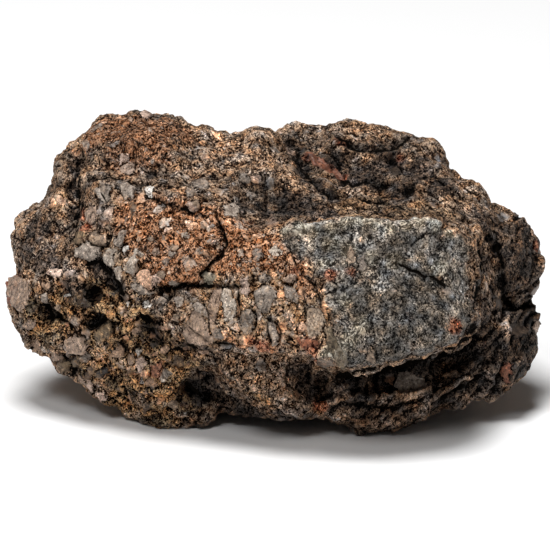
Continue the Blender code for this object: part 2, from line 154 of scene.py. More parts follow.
# Where each kind of surface shows: pixels of the picture, and a radius in millimetres
SPOTS = {
    "orange": [
        (110, 130, 8), (140, 128, 9), (170, 130, 8), (95, 140, 5), (125, 150, 7), (150, 150, 6),
        (130, 218, 6), (150, 215, 8), (180, 225, 9), (165, 245, 10), (188, 255, 8), (198, 235, 7),
        (140, 238, 6), (168, 270, 6), (192, 274, 5), (213, 214, 3), (222, 225, 5), (238, 238, 7),
        (255, 250, 8), (272, 262, 7), (286, 270, 6), (226, 258, 6), (300, 295, 5), (288, 305, 4),
        (300, 325, 4), (245, 342, 4), (232, 338, 3), (270, 345, 4), (78, 145, 3),
    ],
    "agate": [
        (300, 240, 6), (330, 240, 8), (360, 240, 8), (390, 240, 8), (420, 240, 8), (450, 255, 7),
        (345, 265, 7), (380, 265, 8), (420, 270, 8), (455, 280, 6), (350, 300, 8), (385, 300, 9),
        (425, 300, 9), (455, 305, 6), (355, 330, 7), (390, 330, 8), (430, 325, 7), (345, 345, 4),
        (325, 262, 5), (460, 320, 5), (352, 360, 4), (375, 360, 4), (400, 356, 4), (425, 350, 4),
        (450, 342, 4), (352, 367, 2.5), (376, 365, 2.5), (400, 360, 2.5), (426, 353, 2.5), (466, 330, 3),
        (467, 305, 3), (464, 285, 3), (458, 250, 3),
    ],
    "cream": [
        (300, 312, 5), (314, 325, 5), (322, 300, 4), (330, 320, 4), (265, 300, 8), (235, 300, 7),
        (203, 320, 7), (250, 322, 7), (280, 322, 6), (215, 290, 5), (128, 270, 5), (110, 255, 4),
        (64, 200, 3), (78, 142, 2.5), (104, 354, 3.5), (126, 364, 2.5), (100, 346, 2),
    ],
    "tan": [
        (100, 300, 9), (130, 320, 8), (60, 310, 7), (100, 345, 7), (80, 370, 6), (120, 375, 8),
        (150, 350, 8), (160, 385, 8), (180, 360, 7), (120, 400, 5), (160, 415, 6), (190, 400, 6),
        (40, 330, 7), (100, 280, 6), (25, 300, 5), (260, 395, 5),
    ],
    # The dark kind, and the folded one below, darken gullies, hollows, creases, the recess under the ledge
    # and the lower right: partly the stone's own dark colour, partly painted shade
    "dark": [
        (76, 170, 3), (75, 190, 3), (74, 212, 3), (290, 205, 6), (320, 212, 5), (265, 210, 4),
        (240, 206, 3), (290, 148, 3), (300, 165, 4), (315, 182, 4), (330, 196, 4), (488, 245, 4),
        (490, 265, 4), (492, 285, 4), (485, 312, 5), (310, 382, 6), (300, 366, 4), (205, 385, 6),
        (230, 402, 6), (390, 165, 6), (360, 175, 6), (420, 172, 6), (72, 282, 4), (95, 264, 4),
        (94, 322, 3), (35, 232, 5), (45, 258, 5), (25, 250, 4), (500, 225, 4), (130, 170, 2),
        (152, 174, 2), (487, 220, 5), (335, 160, 4), (440, 185, 4), (400, 190, 5), (372, 379, 3),
        (400, 376, 3), (430, 369, 3), (455, 359, 3), (104, 267, 3), (112, 276, 3), (119, 285, 2.5),
    ],
    "folded": [
        (540, 250, 5), (520, 222, 4), (515, 255, 7), (512, 285, 6), (380, 387, 6), (430, 382, 7),
        (465, 360, 5), (482, 335, 5), (500, 350, 8), (520, 320, 6), (400, 420, 7), (440, 400, 7),
        (525, 235, 6), (530, 265, 6), (532, 290, 5), (535, 320, 5), (350, 390, 6), (330, 402, 5),
        (365, 408, 6), (520, 350, 6), (505, 370, 6), (475, 350, 5), (500, 310, 5), (485, 385, 6),
        (460, 400, 6),
    ],
    "laminae": [
        (345, 207, 4), (370, 208, 5), (400, 208, 5), (425, 208, 4), (447, 210, 4), (338, 195, 3),
        (360, 214, 4), (385, 215, 4), (410, 214, 4), (432, 215, 4), (355, 200, 4), (380, 200, 4),
    ],
    "pale": [
        (285, 231, 1.6), (300, 229, 2), (315, 231, 2), (330, 229, 2), (345, 222, 2), (360, 221, 2),
        (375, 224, 2), (390, 229, 1.6), (405, 226, 2), (420, 222, 2), (435, 225, 2), (450, 232, 1.6),
        (330, 243, 2.5), (350, 252, 2.5), (395, 262, 2.5), (440, 268, 2.5), (372, 258, 2), (325, 262, 2),
        (345, 300, 2), (362, 325, 2.5), (350, 340, 2.5), (336, 350, 3), (324, 356, 2),
    ],
    "rust": [
        (310, 343, 2.4), (294, 272, 1.4), (330, 275, 1.8), (352, 272, 1.6), (262, 347, 2.2),
        (250, 340, 1.6), (456, 326, 2.6), (85, 226, 2.4), (82, 214, 1.6), (12, 286, 4), (307, 157, 1.6),
        (318, 163, 1.8), (330, 170, 1.8), (341, 176, 1.5), (340, 140, 2.0), (400, 158, 1.6),
        (320, 405, 2.5), (158, 370, 2), (311, 352, 2.2), (319, 363, 1.8), (536, 246, 1.6),
    ],
}

# The same on the sides that the picture doesn't show: places in millimetres, and a radius
HIDDEN_SPOTS = {
    "orange": [((-40, 28, 62), 16), ((-58, 20, 40), 10), ((30, 44, 50), 12)],
    "agate": [((10, 46, 34), 17), ((55, 26, 36), 11)],
    "tan": [((-30, 38, 24), 15), ((20, 40, 14), 14), ((-62, 0, 28), 10)],
    # The dark kind over the underside near the floor: partly the stone's own dark colour, partly painted
    # shade
    "dark": [((0, 30, 6), 22), ((-10, 44, 50), 9), ((0, -6, 2), 30)],
    "folded": [((40, 34, 20), 12), ((64, 20, 18), 10)],
    "laminae": [((28, 46, 60), 9)],
    "cream": [((-18, 46, 40), 9)],
}

# Where the stone is lighter or darker: a pixel, a radius in millimetres, and the logarithm of the change.
# Most are the stone's own tone; the ones of -0.7 along the underside of the grey face's ledge, and the
# darkest ones at the pits of the lower left, are painted shade.
TONES = [
    (150, 135, 15, -0.45), (110, 135, 9, -0.28), (300, 165, 9, -0.65), (325, 192, 8, -0.6),
    (265, 205, 12, -0.6), (390, 170, 16, -0.25), (350, 140, 14, -0.25), (515, 250, 10, -0.6),
    (512, 285, 8, -0.45), (525, 330, 9, -0.9), (500, 360, 10, -0.6), (480, 385, 10, -0.05),
    (400, 418, 8, 0.3), (400, 208, 14, -0.2), (400, 330, 16, -0.44), (230, 385, 10, -0.35),
    (400, 275, 12, -0.22), (300, 285, 8, -0.06), (60, 232, 9, -0.18), (110, 185, 9, -0.12),
    (300, 210, 8, -0.25), (240, 180, 10, -0.1), (490, 270, 5, 0.25), (175, 320, 9, -0.12),
    (215, 385, 7, -0.2), (310, 375, 6, -0.2), (130, 380, 12, 0.1), (345, 395, 8, -0.15),
    (380, 240, 10, -0.02), (490, 275, 7, 0.35), (78, 142, 3, 0.4), (64, 200, 3.5, 0.4),
    (330, 350, 5, 0.25), (335, 285, 5, 0.2), (395, 385, 9, 0.25), (88, 290, 4, -0.9), (94, 326, 3.5, -1.0),
    (48, 312, 3.5, -0.8), (70, 366, 3, -0.8), (110, 288, 3, -0.6), (196, 392, 7, -0.6), (104, 354, 5, 0.6),
    (110, 312, 4, 0.25), (126, 364, 3, 0.5), (110, 308, 5, 0.25), (118, 388, 6, -0.25),
    (378, 180, 4, -0.6), (325, 150, 5, 0.15), (292, 146, 5, -0.5), (75, 190, 6, -0.45),
    (222, 400, 6, -0.2), (440, 262, 5, 0.25), (350, 285, 4, 0.3), (330, 242, 5, -0.2), (115, 320, 5, 0.3),
    (60, 340, 5, 0.25), (150, 335, 4, -0.5), (170, 345, 4, -0.4), (160, 400, 5, -0.3), (235, 330, 6, 0.2),
    (180, 245, 16, 0.1), (255, 250, 12, 0.05), (225, 165, 14, 0.25), (372, 250, 4, 0.2),
    (250, 165, 6, 0.2), (230, 185, 5, -0.3), (260, 185, 4, -0.3), (236, 160, 4, 0.25), (340, 130, 4, 0.15),
    (430, 170, 5, 0.05), (405, 135, 4, 0.1), (310, 310, 7, -0.15), (424, 366, 5, -0.7),
    (360, 378, 5, -0.7), (382, 376, 5, -0.7), (405, 370, 5, -0.7), (440, 362, 5, -0.7),
    (466, 350, 5, -0.7),
]

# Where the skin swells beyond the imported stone: a pixel, and a radius and a height in millimetres
BULGES = [
    (519, 352, 8, 2.6), (504, 374, 7, 2.2), (490, 386, 5, 1.2), (262, 134, 6, 1.3), (290, 133, 5, 2.2),
    (418, 146, 7, 1.4), (432, 150, 5, 1.2), (96, 134, 6, 1.6), (66, 168, 5, 1.2), (20, 225, 6, 1.2),
]

# Tints of the agate chips
TINTS = {
    "grey": (0.345, 0.285, 0.235), "pale": (0.54, 0.455, 0.375), "white": (0.8, 0.75, 0.69),
    "pink": (0.64, 0.47, 0.38), "peach": (0.72, 0.44, 0.29), "tan": (0.42, 0.27, 0.18),
    "khaki": (0.2, 0.135, 0.075), "brown": (0.13, 0.078, 0.048), "rust": (0.4, 0.14, 0.07),
    "mauve": (0.42, 0.3, 0.225), "cream": (0.55, 0.42, 0.31), "green": (0.31, 0.27, 0.2),
    "olive": (0.155, 0.118, 0.075), "umber": (0.06, 0.04, 0.027), "slate": (0.055, 0.045, 0.04),
    "russet": (0.34, 0.15, 0.085), "veil": (0.4, 0.28, 0.205), "clear": (0.33, 0.24, 0.17),
    "smoky": (0.235, 0.19, 0.155), "rustred": (0.3, 0.085, 0.03), "rustdark": (0.21, 0.078, 0.043),
    "dull": (0.13, 0.08, 0.05),
}

# Chips, given one by one: pixel of the middle, half width and half height in pixels, tint
CHIPS = [
    (138, 252, 4, 4, "pale"), (156, 252, 4, 5, "mauve"), (172, 253, 5, 4, "grey"),
    (174, 247, 5, 3, "clear"), (185, 236, 4, 4, "pale"), (166, 262, 4, 4, "smoky"),
    (108, 228, 4, 4, "clear"), (150, 238, 4, 3, "clear"), (54, 272, 9, 5, "pink"), (47, 286, 6, 5, "tan"),
    (143, 381, 3, 3, "white"), (162, 379, 3, 4, "pale"), (68, 295, 4, 2, "white"),
    (58, 308, 4, 4, "clear"), (139, 351, 4, 3, "white"), (153, 345, 4, 4, "umber"),
    (128, 303, 2, 2, "white"), (174, 406, 5, 5, "clear"), (192, 206, 8, 6, "pink"),
    (209, 278, 6, 7, "green"), (218, 334, 5, 6, "smoky"), (289, 279, 7, 5, "mauve"),
    (264, 278, 8, 5, "grey"), (258, 254, 6, 7, "smoky"), (276, 252, 8, 5, "pale"),
    (302, 327, 5, 5, "peach"), (371, 356, 5, 8, "clear"), (351, 258, 5, 12, "clear"),
    (363, 264, 6, 10, "smoky"), (149, 190, 4, 6, "white"), (122, 159, 9, 5, "pink"),
    (128, 168, 10, 6, "mauve"), (91, 216, 6, 10, "mauve"), (190, 192, 6, 6, "smoky"),
    (195, 205, 6, 5, "clear"), (245, 178, 6, 5, "smoky"), (252, 195, 6, 5, "smoky"),
    (173, 284, 5, 4, "grey"), (176, 318, 5, 7, "clear"), (536, 328, 6, 8, "mauve"),
    (516, 352, 6, 8, "dull"), (146, 115, 6, 4, "pink"), (118, 352, 7, 6, "tan"), (178, 362, 7, 6, "brown"),
    (136, 332, 6, 6, "tan"),
]

# Larger chips, with their tints and the pixels of their outlines
SLABS = [
    # The band under the plate
    ("veil", [(192, 311), (200, 314), (206, 322), (210, 332), (212, 342), (205, 346), (196, 346),
        (188, 342), (184, 334), (187, 322)]),
    ("grey", [(192, 306), (200, 302), (206, 308), (209, 318), (203, 314), (195, 311)]),
    ("veil", [(212, 290), (219, 289), (220, 300), (217, 312), (216, 322), (213, 334), (210, 324),
        (209, 312), (210, 302)]),
    ("pale", [(222, 286), (230, 290), (235, 300), (236, 312), (233, 320), (226, 322), (223, 310),
        (221, 298)]),
    ("pink", [(239, 278), (248, 277), (250, 290), (246, 297), (241, 292)]),
    ("grey", [(254, 292), (262, 286), (274, 287), (276, 297), (271, 303), (270, 311), (262, 312),
        (256, 304)]),
    ("grey", [(241, 312), (252, 309), (254, 318), (252, 330), (246, 336), (241, 328), (239, 320)]),
    ("grey", [(268, 321), (273, 323), (278, 332), (278, 345), (272, 346), (269, 334)]),
    ("grey", [(283, 285), (294, 289), (300, 297), (296, 303), (286, 296)]),
    ("cream", [(307, 312), (314, 308), (322, 312), (325, 322), (322, 332), (314, 338), (308, 334),
        (306, 322)]),
    ("rust", [(296, 337), (306, 340), (316, 339), (318, 345), (306, 348), (298, 344)]),
    # The plate's left edge
    ("clear", [(89, 234), (95, 230), (99, 235), (104, 235), (109, 239), (106, 245), (98, 245), (90, 243)]),
    ("khaki", [(72, 239), (76, 232), (82, 231), (86, 234), (84, 240), (79, 245), (73, 243)]),
    ("grey", [(74, 250), (81, 246), (86, 242), (90, 246), (98, 247), (99, 252), (94, 257), (88, 261),
        (82, 258), (76, 256)]),
    ("pale", [(102, 254), (110, 248), (114, 250), (113, 257), (114, 262), (110, 269), (105, 263),
        (101, 258)]),
    ("cream", [(114, 252), (118, 251), (117, 260), (114, 264)]),
    ("grey", [(114, 247), (114, 241), (118, 236), (121, 230), (127, 230), (125, 238), (122, 245),
        (117, 247)]),
    ("white", [(120, 250), (124, 246), (128, 245), (129, 249), (125, 253)]),
    ("pale", [(122, 268), (127, 262), (131, 256), (135, 255), (138, 260), (136, 269), (134, 277),
        (128, 274)]),
    ("peach", [(137, 275), (142, 270), (149, 269), (151, 275), (151, 284), (153, 289), (149, 291),
        (143, 286), (138, 281)]),
    ("pink", [(152, 278), (155, 275), (161, 279), (157, 285), (153, 287)]),
    ("grey", [(132, 283), (137, 281), (141, 286), (148, 291), (153, 294), (146, 294), (139, 294),
        (133, 290)]),
    ("pale", [(114, 272), (117, 266), (121, 268), (121, 276), (118, 281), (115, 278)]),
    ("smoky", [(160, 299), (164, 293), (168, 296), (168, 301), (163, 304), (160, 302)]),
    ("white", [(141, 304), (146, 301), (152, 304), (149, 308), (143, 308)]),
    ("grey", [(174, 300), (178, 296), (184, 300), (182, 306), (176, 308)]),
    ("clear", [(157, 273), (161, 270), (166, 273), (164, 278), (160, 278)]),
    # Under the ledge and at the lower right
    ("smoky", [(398, 373), (410, 373), (422, 379), (428, 386), (414, 392), (400, 394), (395, 385)]),
    ("rustdark", [(496, 366), (500, 360), (505, 361), (504, 372), (500, 376)]),
    ("umber", [(509, 324), (520, 324), (524, 332), (516, 338), (509, 334)]),
    # The pebbly lower left
    ("mauve", [(68, 338), (75, 335), (83, 338), (88, 346), (84, 353), (76, 355), (69, 353), (65, 345)]),
    ("khaki", [(94, 334), (102, 327), (109, 324), (113, 332), (107, 339), (99, 342), (94, 339)]),
    ("slate", [(95, 372), (108, 366), (109, 370), (101, 378), (95, 377)]),
    ("veil", [(128, 356), (132, 354), (135, 362), (131, 366), (128, 362)]),
    ("pink", [(135, 360), (142, 356), (147, 360), (144, 368), (139, 372), (135, 366)]),
    ("russet", [(151, 369), (156, 363), (162, 363), (162, 370), (157, 378), (152, 376)]),
    ("smoky", [(163, 372), (166, 368), (171, 373), (167, 379), (163, 378)]),
    ("grey", [(41, 295), (46, 292), (49, 300), (47, 307), (42, 305)]),
    ("mauve", [(25, 324), (28, 320), (33, 320), (35, 327), (29, 331), (25, 328)]),
    ("tan", [(32, 344), (37, 340), (42, 345), (38, 351), (33, 350)]),
    ("veil", [(51, 354), (56, 354), (60, 359), (55, 363), (50, 359)]),
    ("khaki", [(57, 365), (63, 360), (70, 363), (68, 370), (62, 373)]),
    ("khaki", [(73, 359), (78, 357), (81, 364), (76, 368), (73, 364)]),
    ("smoky", [(80, 357), (86, 353), (90, 357), (86, 362), (81, 362)]),
    ("brown", [(84, 376), (88, 368), (94, 367), (93, 374), (88, 382), (84, 381)]),
    ("veil", [(74, 374), (78, 373), (85, 382), (82, 385)]),
    ("pink", [(84, 384), (90, 383), (95, 392), (91, 395)]),
    ("pink", [(96, 392), (103, 393), (107, 400), (101, 402), (96, 397)]),
    ("tan", [(160, 350), (166, 346), (171, 349), (166, 355), (161, 354)]),
    # The grey face's lower left corner, the mound, the two ends and the top of the plate
    ("olive", [(325, 330), (331, 327), (338, 344), (348, 361), (344, 368), (336, 361), (328, 346)]),
    ("smoky", [(317, 360), (325, 350), (334, 361), (330, 369), (320, 367)]),
    ("umber", [(390, 168), (397, 165), (401, 171), (395, 176)]),
    ("mauve", [(10, 280), (18, 276), (26, 284), (28, 300), (22, 312), (13, 306), (9, 294)]),
    ("rustred", [(5, 282), (9, 279), (9, 294), (12, 304), (7, 302)]),
    ("grey", [(94, 188), (104, 182), (112, 188), (108, 200), (98, 199)]),
    ("grey", [(119, 184), (128, 180), (135, 186), (133, 198), (124, 200)]),
    ("smoky", [(192, 180), (203, 176), (210, 182), (206, 190), (196, 190)]),
    ("grey", [(224, 206), (234, 202), (240, 208), (236, 216), (226, 215)]),
    ("rustdark", [(303, 153), (310, 153), (322, 160), (333, 167), (344, 175), (341, 178), (328, 172),
        (314, 165)]),
    ("umber", [(496, 299), (502, 298), (503, 309), (497, 311)]),
    ("dull", [(530, 286), (538, 284), (541, 292), (535, 298), (529, 293)]),
    ("rustred", [(518, 366), (523, 358), (535, 348), (537, 354), (530, 364), (521, 370)]),
]

# Lines along which the skin is cracked, creased or folded: width and depth in millimetres, how dark,
# and the pixels that it runs through. A negative depth is a ridge. How dark is partly the cracks' own dark
# colour and partly painted shade in cracks, creases and pits; below 0 it is a painted highlight on a
# ridge.
LINES = [
    # Cracks in the raised plate, and creases between the chips at its left
    (0.9, 1.1, 1.0, [(213, 212), (218, 222), (222, 232), (224, 243), (221, 255), (214, 263), (207, 269),
        (202, 275)]),
    (1.2, 1.0, 1.0, [(158, 294), (164, 289), (176, 287), (190, 286), (204, 285), (216, 287), (228, 288),
        (240, 286)]),
    (0.9, 0.6, 0.8, [(160, 296), (168, 298), (174, 292)]),
    (1.4, 0.5, 0.7, [(148, 196), (162, 202), (178, 208), (194, 212), (206, 214)]),
    (1.0, 0.7, 0.8, [(96, 184), (101, 193), (104, 201)]),
    (1.4, 0.7, 0.9, [(74, 228), (73, 234), (70, 240)]),
    (0.8, 0.5, 0.9, [(84, 243), (92, 245), (100, 247), (108, 244), (111, 236)]),
    (2.2, 0.6, 0.8, [(88, 263), (98, 262), (108, 272), (118, 284), (123, 296)]),
    (0.9, 0.6, 0.9, [(153, 291), (158, 287), (166, 288), (170, 296), (164, 303), (160, 307)]),
    (0.8, 0.5, 0.9, [(134, 279), (136, 272), (138, 264)]),
    (0.7, 0.4, 0.8, [(118, 262), (117, 252), (120, 247), (127, 243)]),
    (1.1, 0.5, 0.6, [(78, 165), (79, 180), (78, 195), (80, 210), (74, 226)]),
    (1.0, 0.6, 0.7, [(92, 178), (112, 176), (130, 181), (150, 184)]),
    # Cracks between the chips of the band under the plate
    (1.0, 0.7, 0.8, [(292, 256), (300, 270), (313, 282), (319, 296), (322, 312)]),
    (0.7, 0.7, 0.9, [(270, 317), (267, 324), (267, 334), (270, 345)]),
    (0.7, 0.6, 0.9, [(271, 319), (277, 325), (280, 335), (278, 343)]),
    (0.7, 0.6, 0.9, [(203, 303), (208, 311), (210, 324), (211, 330)]),
    (0.8, 0.6, 0.9, [(234, 282), (237, 292), (238, 304), (238, 316), (242, 334)]),
    (1.0, 0.7, 0.9, [(253, 276), (253, 286)]),
    (0.7, 0.6, 0.9, [(254, 311), (255, 321), (252, 333)]),
    (0.9, 0.7, 0.9, [(304, 292), (303, 304), (306, 318)]),
    (2.0, 1.1, 1.0, [(214, 343), (221, 344), (229, 346)]),
    (1.2, 0.7, 0.9, [(186, 346), (198, 352), (210, 353)]),
    (0.6, 0.4, 0.8, [(187, 328), (196, 332), (206, 341)]),
    # The edge of the left overhang
    (1.0, 0.6, 0.8, [(90, 322), (100, 324), (110, 322), (118, 326)]),
    # Creases of the mound and of the slope down to the bench
    (1.2, 0.7, 0.8, [(300, 148), (296, 158), (304, 170), (316, 184), (330, 196)]),
    (1.3, 0.7, 0.9, [(338, 138), (358, 148), (376, 149), (392, 147), (406, 144)]),
    (1.1, -0.6, -0.3, [(330, 126), (350, 131), (372, 135), (396, 138)]),
    (1.0, 0.5, 0.7, [(340, 176), (352, 184), (366, 182), (380, 188), (392, 184)]),
    (0.9, 0.7, 0.9, [(422, 177), (432, 175), (440, 179), (446, 184)]),
    (1.0, 0.7, 0.9, [(416, 184), (410, 188), (407, 192)]),
    (1.4, 0.9, 1.0, [(379, 184), (385, 184)]),
    (1.1, 0.8, 1.0, [(342, 178), (344, 184)]),
    (0.9, 0.7, 0.9, [(336, 158), (339, 162), (340, 168)]),
    (0.7, 0.5, 0.9, [(358, 196), (363, 199), (368, 202), (377, 202), (385, 202)]),
    (0.8, 0.5, 0.8, [(450, 195), (458, 196), (466, 197)]),
    (0.8, 0.5, 0.8, [(356, 196), (372, 200), (388, 203), (402, 208)]),
    (0.8, 0.4, 0.7, [(344, 203), (360, 208), (376, 213), (392, 216)]),
    # Creases of the grey face, and the gaps beside and below the knob
    (1.8, 0.3, 0.8, [(398, 264), (414, 270), (430, 277), (446, 286)]),
    (1.2, 0.7, 0.8, [(480, 240), (482, 256), (483, 274), (480, 292), (476, 308)]),
    (1.6, 0.9, 0.6, [(496, 244), (499, 260), (502, 280), (506, 302)]),
    (1.2, 0.9, 1.0, [(512, 305), (522, 307), (534, 303)]),
    (1.0, 0.6, 0.8, [(504, 310), (520, 306), (538, 300)]),
    # Ridges above the plate and along the top of the grey face, with painted highlights along them
    (1.2, -0.8, -0.6, [(208, 213), (222, 223), (240, 232), (262, 240), (280, 246), (291, 256)]),
    (1.0, -0.6, -0.5, [(286, 230), (305, 226), (325, 224), (345, 220), (362, 220), (380, 224), (400, 224),
        (420, 220), (440, 224)]),
    # Folds of the lower right, and ridges under the ledge, with painted highlights on the ridges and
    # painted shade in the creases
    (0.8, -1.1, -0.9, [(507, 318), (504, 332), (502, 345), (497, 356), (491, 365), (485, 374)]),
    (1.7, -1.0, -0.8, [(486, 374), (483, 384), (479, 392), (473, 399), (464, 405), (452, 411)]),
    (0.7, -0.9, -0.7, [(510, 340), (512, 352), (508, 364), (503, 376), (499, 386)]),
    (0.8, -1.0, -0.7, [(472, 377), (456, 382), (444, 390), (436, 394), (428, 400), (422, 408)]),
    (1.2, 0.9, 0.8, [(497, 362), (493, 374), (490, 386), (484, 394)]),
    (1.2, 0.9, 0.8, [(518, 342), (514, 356), (508, 372), (500, 384)]),
    (1.6, 0.9, 0.8, [(478, 380), (466, 387), (452, 394), (440, 402)]),
    (1.0, -1.0, -0.7, [(330, 401), (350, 395), (372, 397), (396, 396), (412, 393), (428, 388)]),
    (0.9, -0.8, -0.7, [(418, 424), (440, 416), (460, 411), (476, 406), (492, 398), (506, 386)]),
    (1.2, 0.8, 0.6, [(332, 408), (354, 404), (378, 408), (400, 406), (424, 400)]),
    # The crease under the ledge of the grey face: painted shade in the recess below the ledge
    (2.4, 1.1, 0.9, [(338, 378), (356, 377), (376, 375), (400, 370), (426, 363), (450, 354), (468, 343),
        (478, 326)]),
    (1.2, -0.9, -0.5, [(336, 416), (356, 421), (380, 425), (400, 421), (426, 414)]),
    (1.0, -0.9, -0.7, [(220, 362), (234, 378), (248, 388), (262, 392), (280, 406), (300, 416)]),
    (1.0, -0.6, -0.3, [(284, 364), (281, 380), (284, 392)]),
    (1.0, -0.5, -0.3, [(317, 360), (314, 374), (308, 388)]),
    # Pits and creases of the pebbly lower left, with painted shade in them
    (3.2, 1.8, 0.9, [(84, 289), (92, 292)]),
    (2.6, 1.7, 1.0, [(88, 323), (96, 322), (102, 320)]),
    (0.9, 0.8, 1.0, [(92, 316), (104, 318), (111, 322), (114, 335)]),
    (1.0, 0.8, 1.0, [(78, 331), (90, 330), (98, 326), (104, 323)]),
    (2.4, 1.4, 0.9, [(47, 308), (51, 314), (48, 319)]),
    (2.2, 1.2, 0.9, [(70, 366), (74, 371), (71, 376)]),
    (1.6, 1.0, 0.9, [(61, 357), (65, 360)]),
    (1.3, 0.8, 0.9, [(104, 340), (106, 347)]),
    (0.7, 0.5, 0.8, [(64, 338), (63, 346), (68, 355), (80, 356)]),
    (1.2, 0.8, 0.9, [(56, 314), (64, 322), (70, 328)]),
    (0.8, 0.5, 0.8, [(147, 358), (150, 366), (150, 376)]),
    (1.5, 0.9, 0.9, [(140, 316), (148, 322), (158, 322)]),
    (2.4, 1.3, 0.8, [(108, 286), (114, 289)]),
    (3.0, 1.6, 0.8, [(190, 388), (198, 392), (204, 396)]),
    (1.8, 1.0, 0.8, [(146, 330), (156, 336), (160, 344)]),
    (1.8, 1.0, 0.8, [(122, 344), (126, 352)]),
    (1.6, 0.9, 0.8, [(170, 352), (178, 350), (186, 354)]),
]

# ------------------------------------------------------------------ camera, floor and light

def new_object(name, data):
    """Add a mesh, camera or light to the scene as an object."""
    made = bpy.data.objects.new(name, data)
    bpy.context.scene.collection.objects.link(made)
    return made


def camera_axes():
    """Return the camera's right, up and back directions."""
    back = Vector((0, -math.cos(ELEVATION), math.sin(ELEVATION)))
    right = Vector((1, 0, 0))
    return right, back.cross(right), back


def pixel_ray(px, py):
    """Return the start and the direction of the sight line through a pixel of the picture."""
    right, up, back = camera_axes()
    start = TARGET + back * DISTANCE
    across = (px / PICTURE - 0.5) * FRAME_WIDTH
    above = (0.5 - py / PICTURE) * FRAME_WIDTH
    end = TARGET + right * across + up * above
    return start, (end - start).normalized()


def make_camera():
    """Add the camera, which looks at the stone from the front and a little above."""
    right, up, back = camera_axes()
    data = bpy.data.cameras.new("camera")
    data.sensor_width = SENSOR
    data.lens = SENSOR / FRAME_WIDTH * DISTANCE
    data.clip_end = 10 * DISTANCE
    camera = new_object("camera", data)
    turn = Matrix((right, up, back)).transposed().to_4x4()
    camera.matrix_world = Matrix.Translation(TARGET + back * DISTANCE) @ turn
    bpy.context.scene.camera = camera


def make_floor():
    """Add the plain pale floor."""
    mesh = bpy.data.meshes.new("floor")
    corners = [(-FLOOR_HALF, -FLOOR_HALF, 0), (FLOOR_HALF, -FLOOR_HALF, 0),
               (FLOOR_HALF, FLOOR_HALF, 0), (-FLOOR_HALF, FLOOR_HALF, 0)]
    mesh.from_pydata(corners, [], [(0, 1, 2, 3)])
    floor = new_object("floor", mesh)
    material = bpy.data.materials.new("floor")
    material.use_nodes = True
    shader = material.node_tree.nodes["Principled BSDF"]
    shader.inputs["Base Color"].default_value = FLOOR_COLOUR
    shader.inputs["Roughness"].default_value = FLOOR_ROUGHNESS
    mesh.materials.append(material)


def make_light():
    """Light the stone softly from above and a little from the front left, with white surroundings."""
    world = bpy.data.worlds.new("studio")
    world.use_nodes = True
    shade = world.node_tree.nodes["Background"]
    shade.inputs["Color"].default_value = WHITE
    shade.inputs["Strength"].default_value = SURROUNDINGS
    bpy.context.scene.world = world
    for name, (place, size, power) in LIGHTS.items():
        data = bpy.data.lights.new(name, "AREA")
        data.size = size
        data.energy = power
        light = new_object(name, data)
        light.location = place
        light.rotation_euler = (TARGET - Vector(place)).to_track_quat("-Z", "Y").to_euler()
    bpy.context.scene.view_settings.view_transform = "Standard"


# ------------------------------------------------------------------ mesh tools

def read_vectors(mesh, name):
    """Return the places ("co") or the normals ("normal") of a mesh's vertices as an array."""
    vectors = np.empty(len(mesh.vertices) * 3)
    mesh.vertices.foreach_get(name, vectors)
    return vectors.reshape(-1, 3)


def write_places(mesh, places):
    """Move a mesh's vertices, with none below the floor."""
    places[:, 2] = np.maximum(places[:, 2], 0)
    mesh.vertices.foreach_set("co", places.ravel())
    mesh.update()


def read_edges(mesh):
    """Return the two vertices of each edge."""
    ends = np.empty(len(mesh.edges) * 2, dtype=np.int32)
    mesh.edges.foreach_get("vertices", ends)
    return ends.reshape(-1, 2)


def write_value(mesh, name, values):
    """Store one number for each vertex."""
    layer = mesh.attributes.new(name, "FLOAT", "POINT")
    layer.data.foreach_set("value", np.asarray(values, dtype=np.float32))


def write_colour(mesh, name, colours):
    """Store one colour for each vertex."""
    layer = mesh.attributes.new(name, "FLOAT_COLOR", "POINT")
    whole = np.ones((len(colours), 4), dtype=np.float32)
    whole[:, :3] = colours
    layer.data.foreach_set("color", whole.ravel())


def apply_modifiers(piece):
    """Replace a piece's mesh by what its modifiers make of it."""
    evaluated = piece.evaluated_get(bpy.context.evaluated_depsgraph_get())
    mesh = bpy.data.meshes.new_from_object(evaluated)
    piece.modifiers.clear()
    piece.data = mesh
    mesh.name = piece.name


def tree_of(piece):
    """Return a tree that finds where sight lines hit a piece."""
    return BVHTree.FromObject(piece, bpy.context.evaluated_depsgraph_get())


def triangle_count(mesh):
    """Return how many triangles a mesh's faces come to."""
    return sum(len(face.vertices) - 2 for face in mesh.polygons)


def rise(values, low, high):
    """Return 0 below low, 1 above high and a smooth rise between them."""
    part = np.clip((values - low) / (high - low), 0, 1)
    return part * part * (3 - 2 * part)


def wander(places, span, shift=0.0):
    """Return smooth noise, about -0.5 to 0.5, at places in metres. The span is in millimetres."""
    spots = (places / (span * MM) + shift).tolist()
    return np.array([noise.noise(spot) for spot in spots])


def wander_vector(places, span, shift=0.0):
    """Return smooth noise vectors at places in metres. The span is in millimetres."""
    spots = (places / (span * MM) + shift).tolist()
    return np.array([noise.noise_vector(spot)[:] for spot in spots])


def cells(places, span, shift=0.0):
    """Return how far the nearest two cell centres are, the nearest one's place, and its number.

    The span of a cell is in millimetres, and the two distances are in spans.
    """
    near = np.empty(len(places))
    second = np.empty(len(places))
    centres = np.empty((len(places), 3))
    for i, spot in enumerate((places / (span * MM) + shift).tolist()):
        away, middles = noise.voronoi(spot)
        near[i] = away[0]
        second[i] = away[1]
        centres[i] = middles[0]
    return near, second, (centres - shift) * (span * MM), centres


def unit(vectors):
    """Return vectors of length 1."""
    return vectors / np.maximum(np.linalg.norm(vectors, axis=-1, keepdims=True), 1e-12)


# ------------------------------------------------------------------ kinds of surface

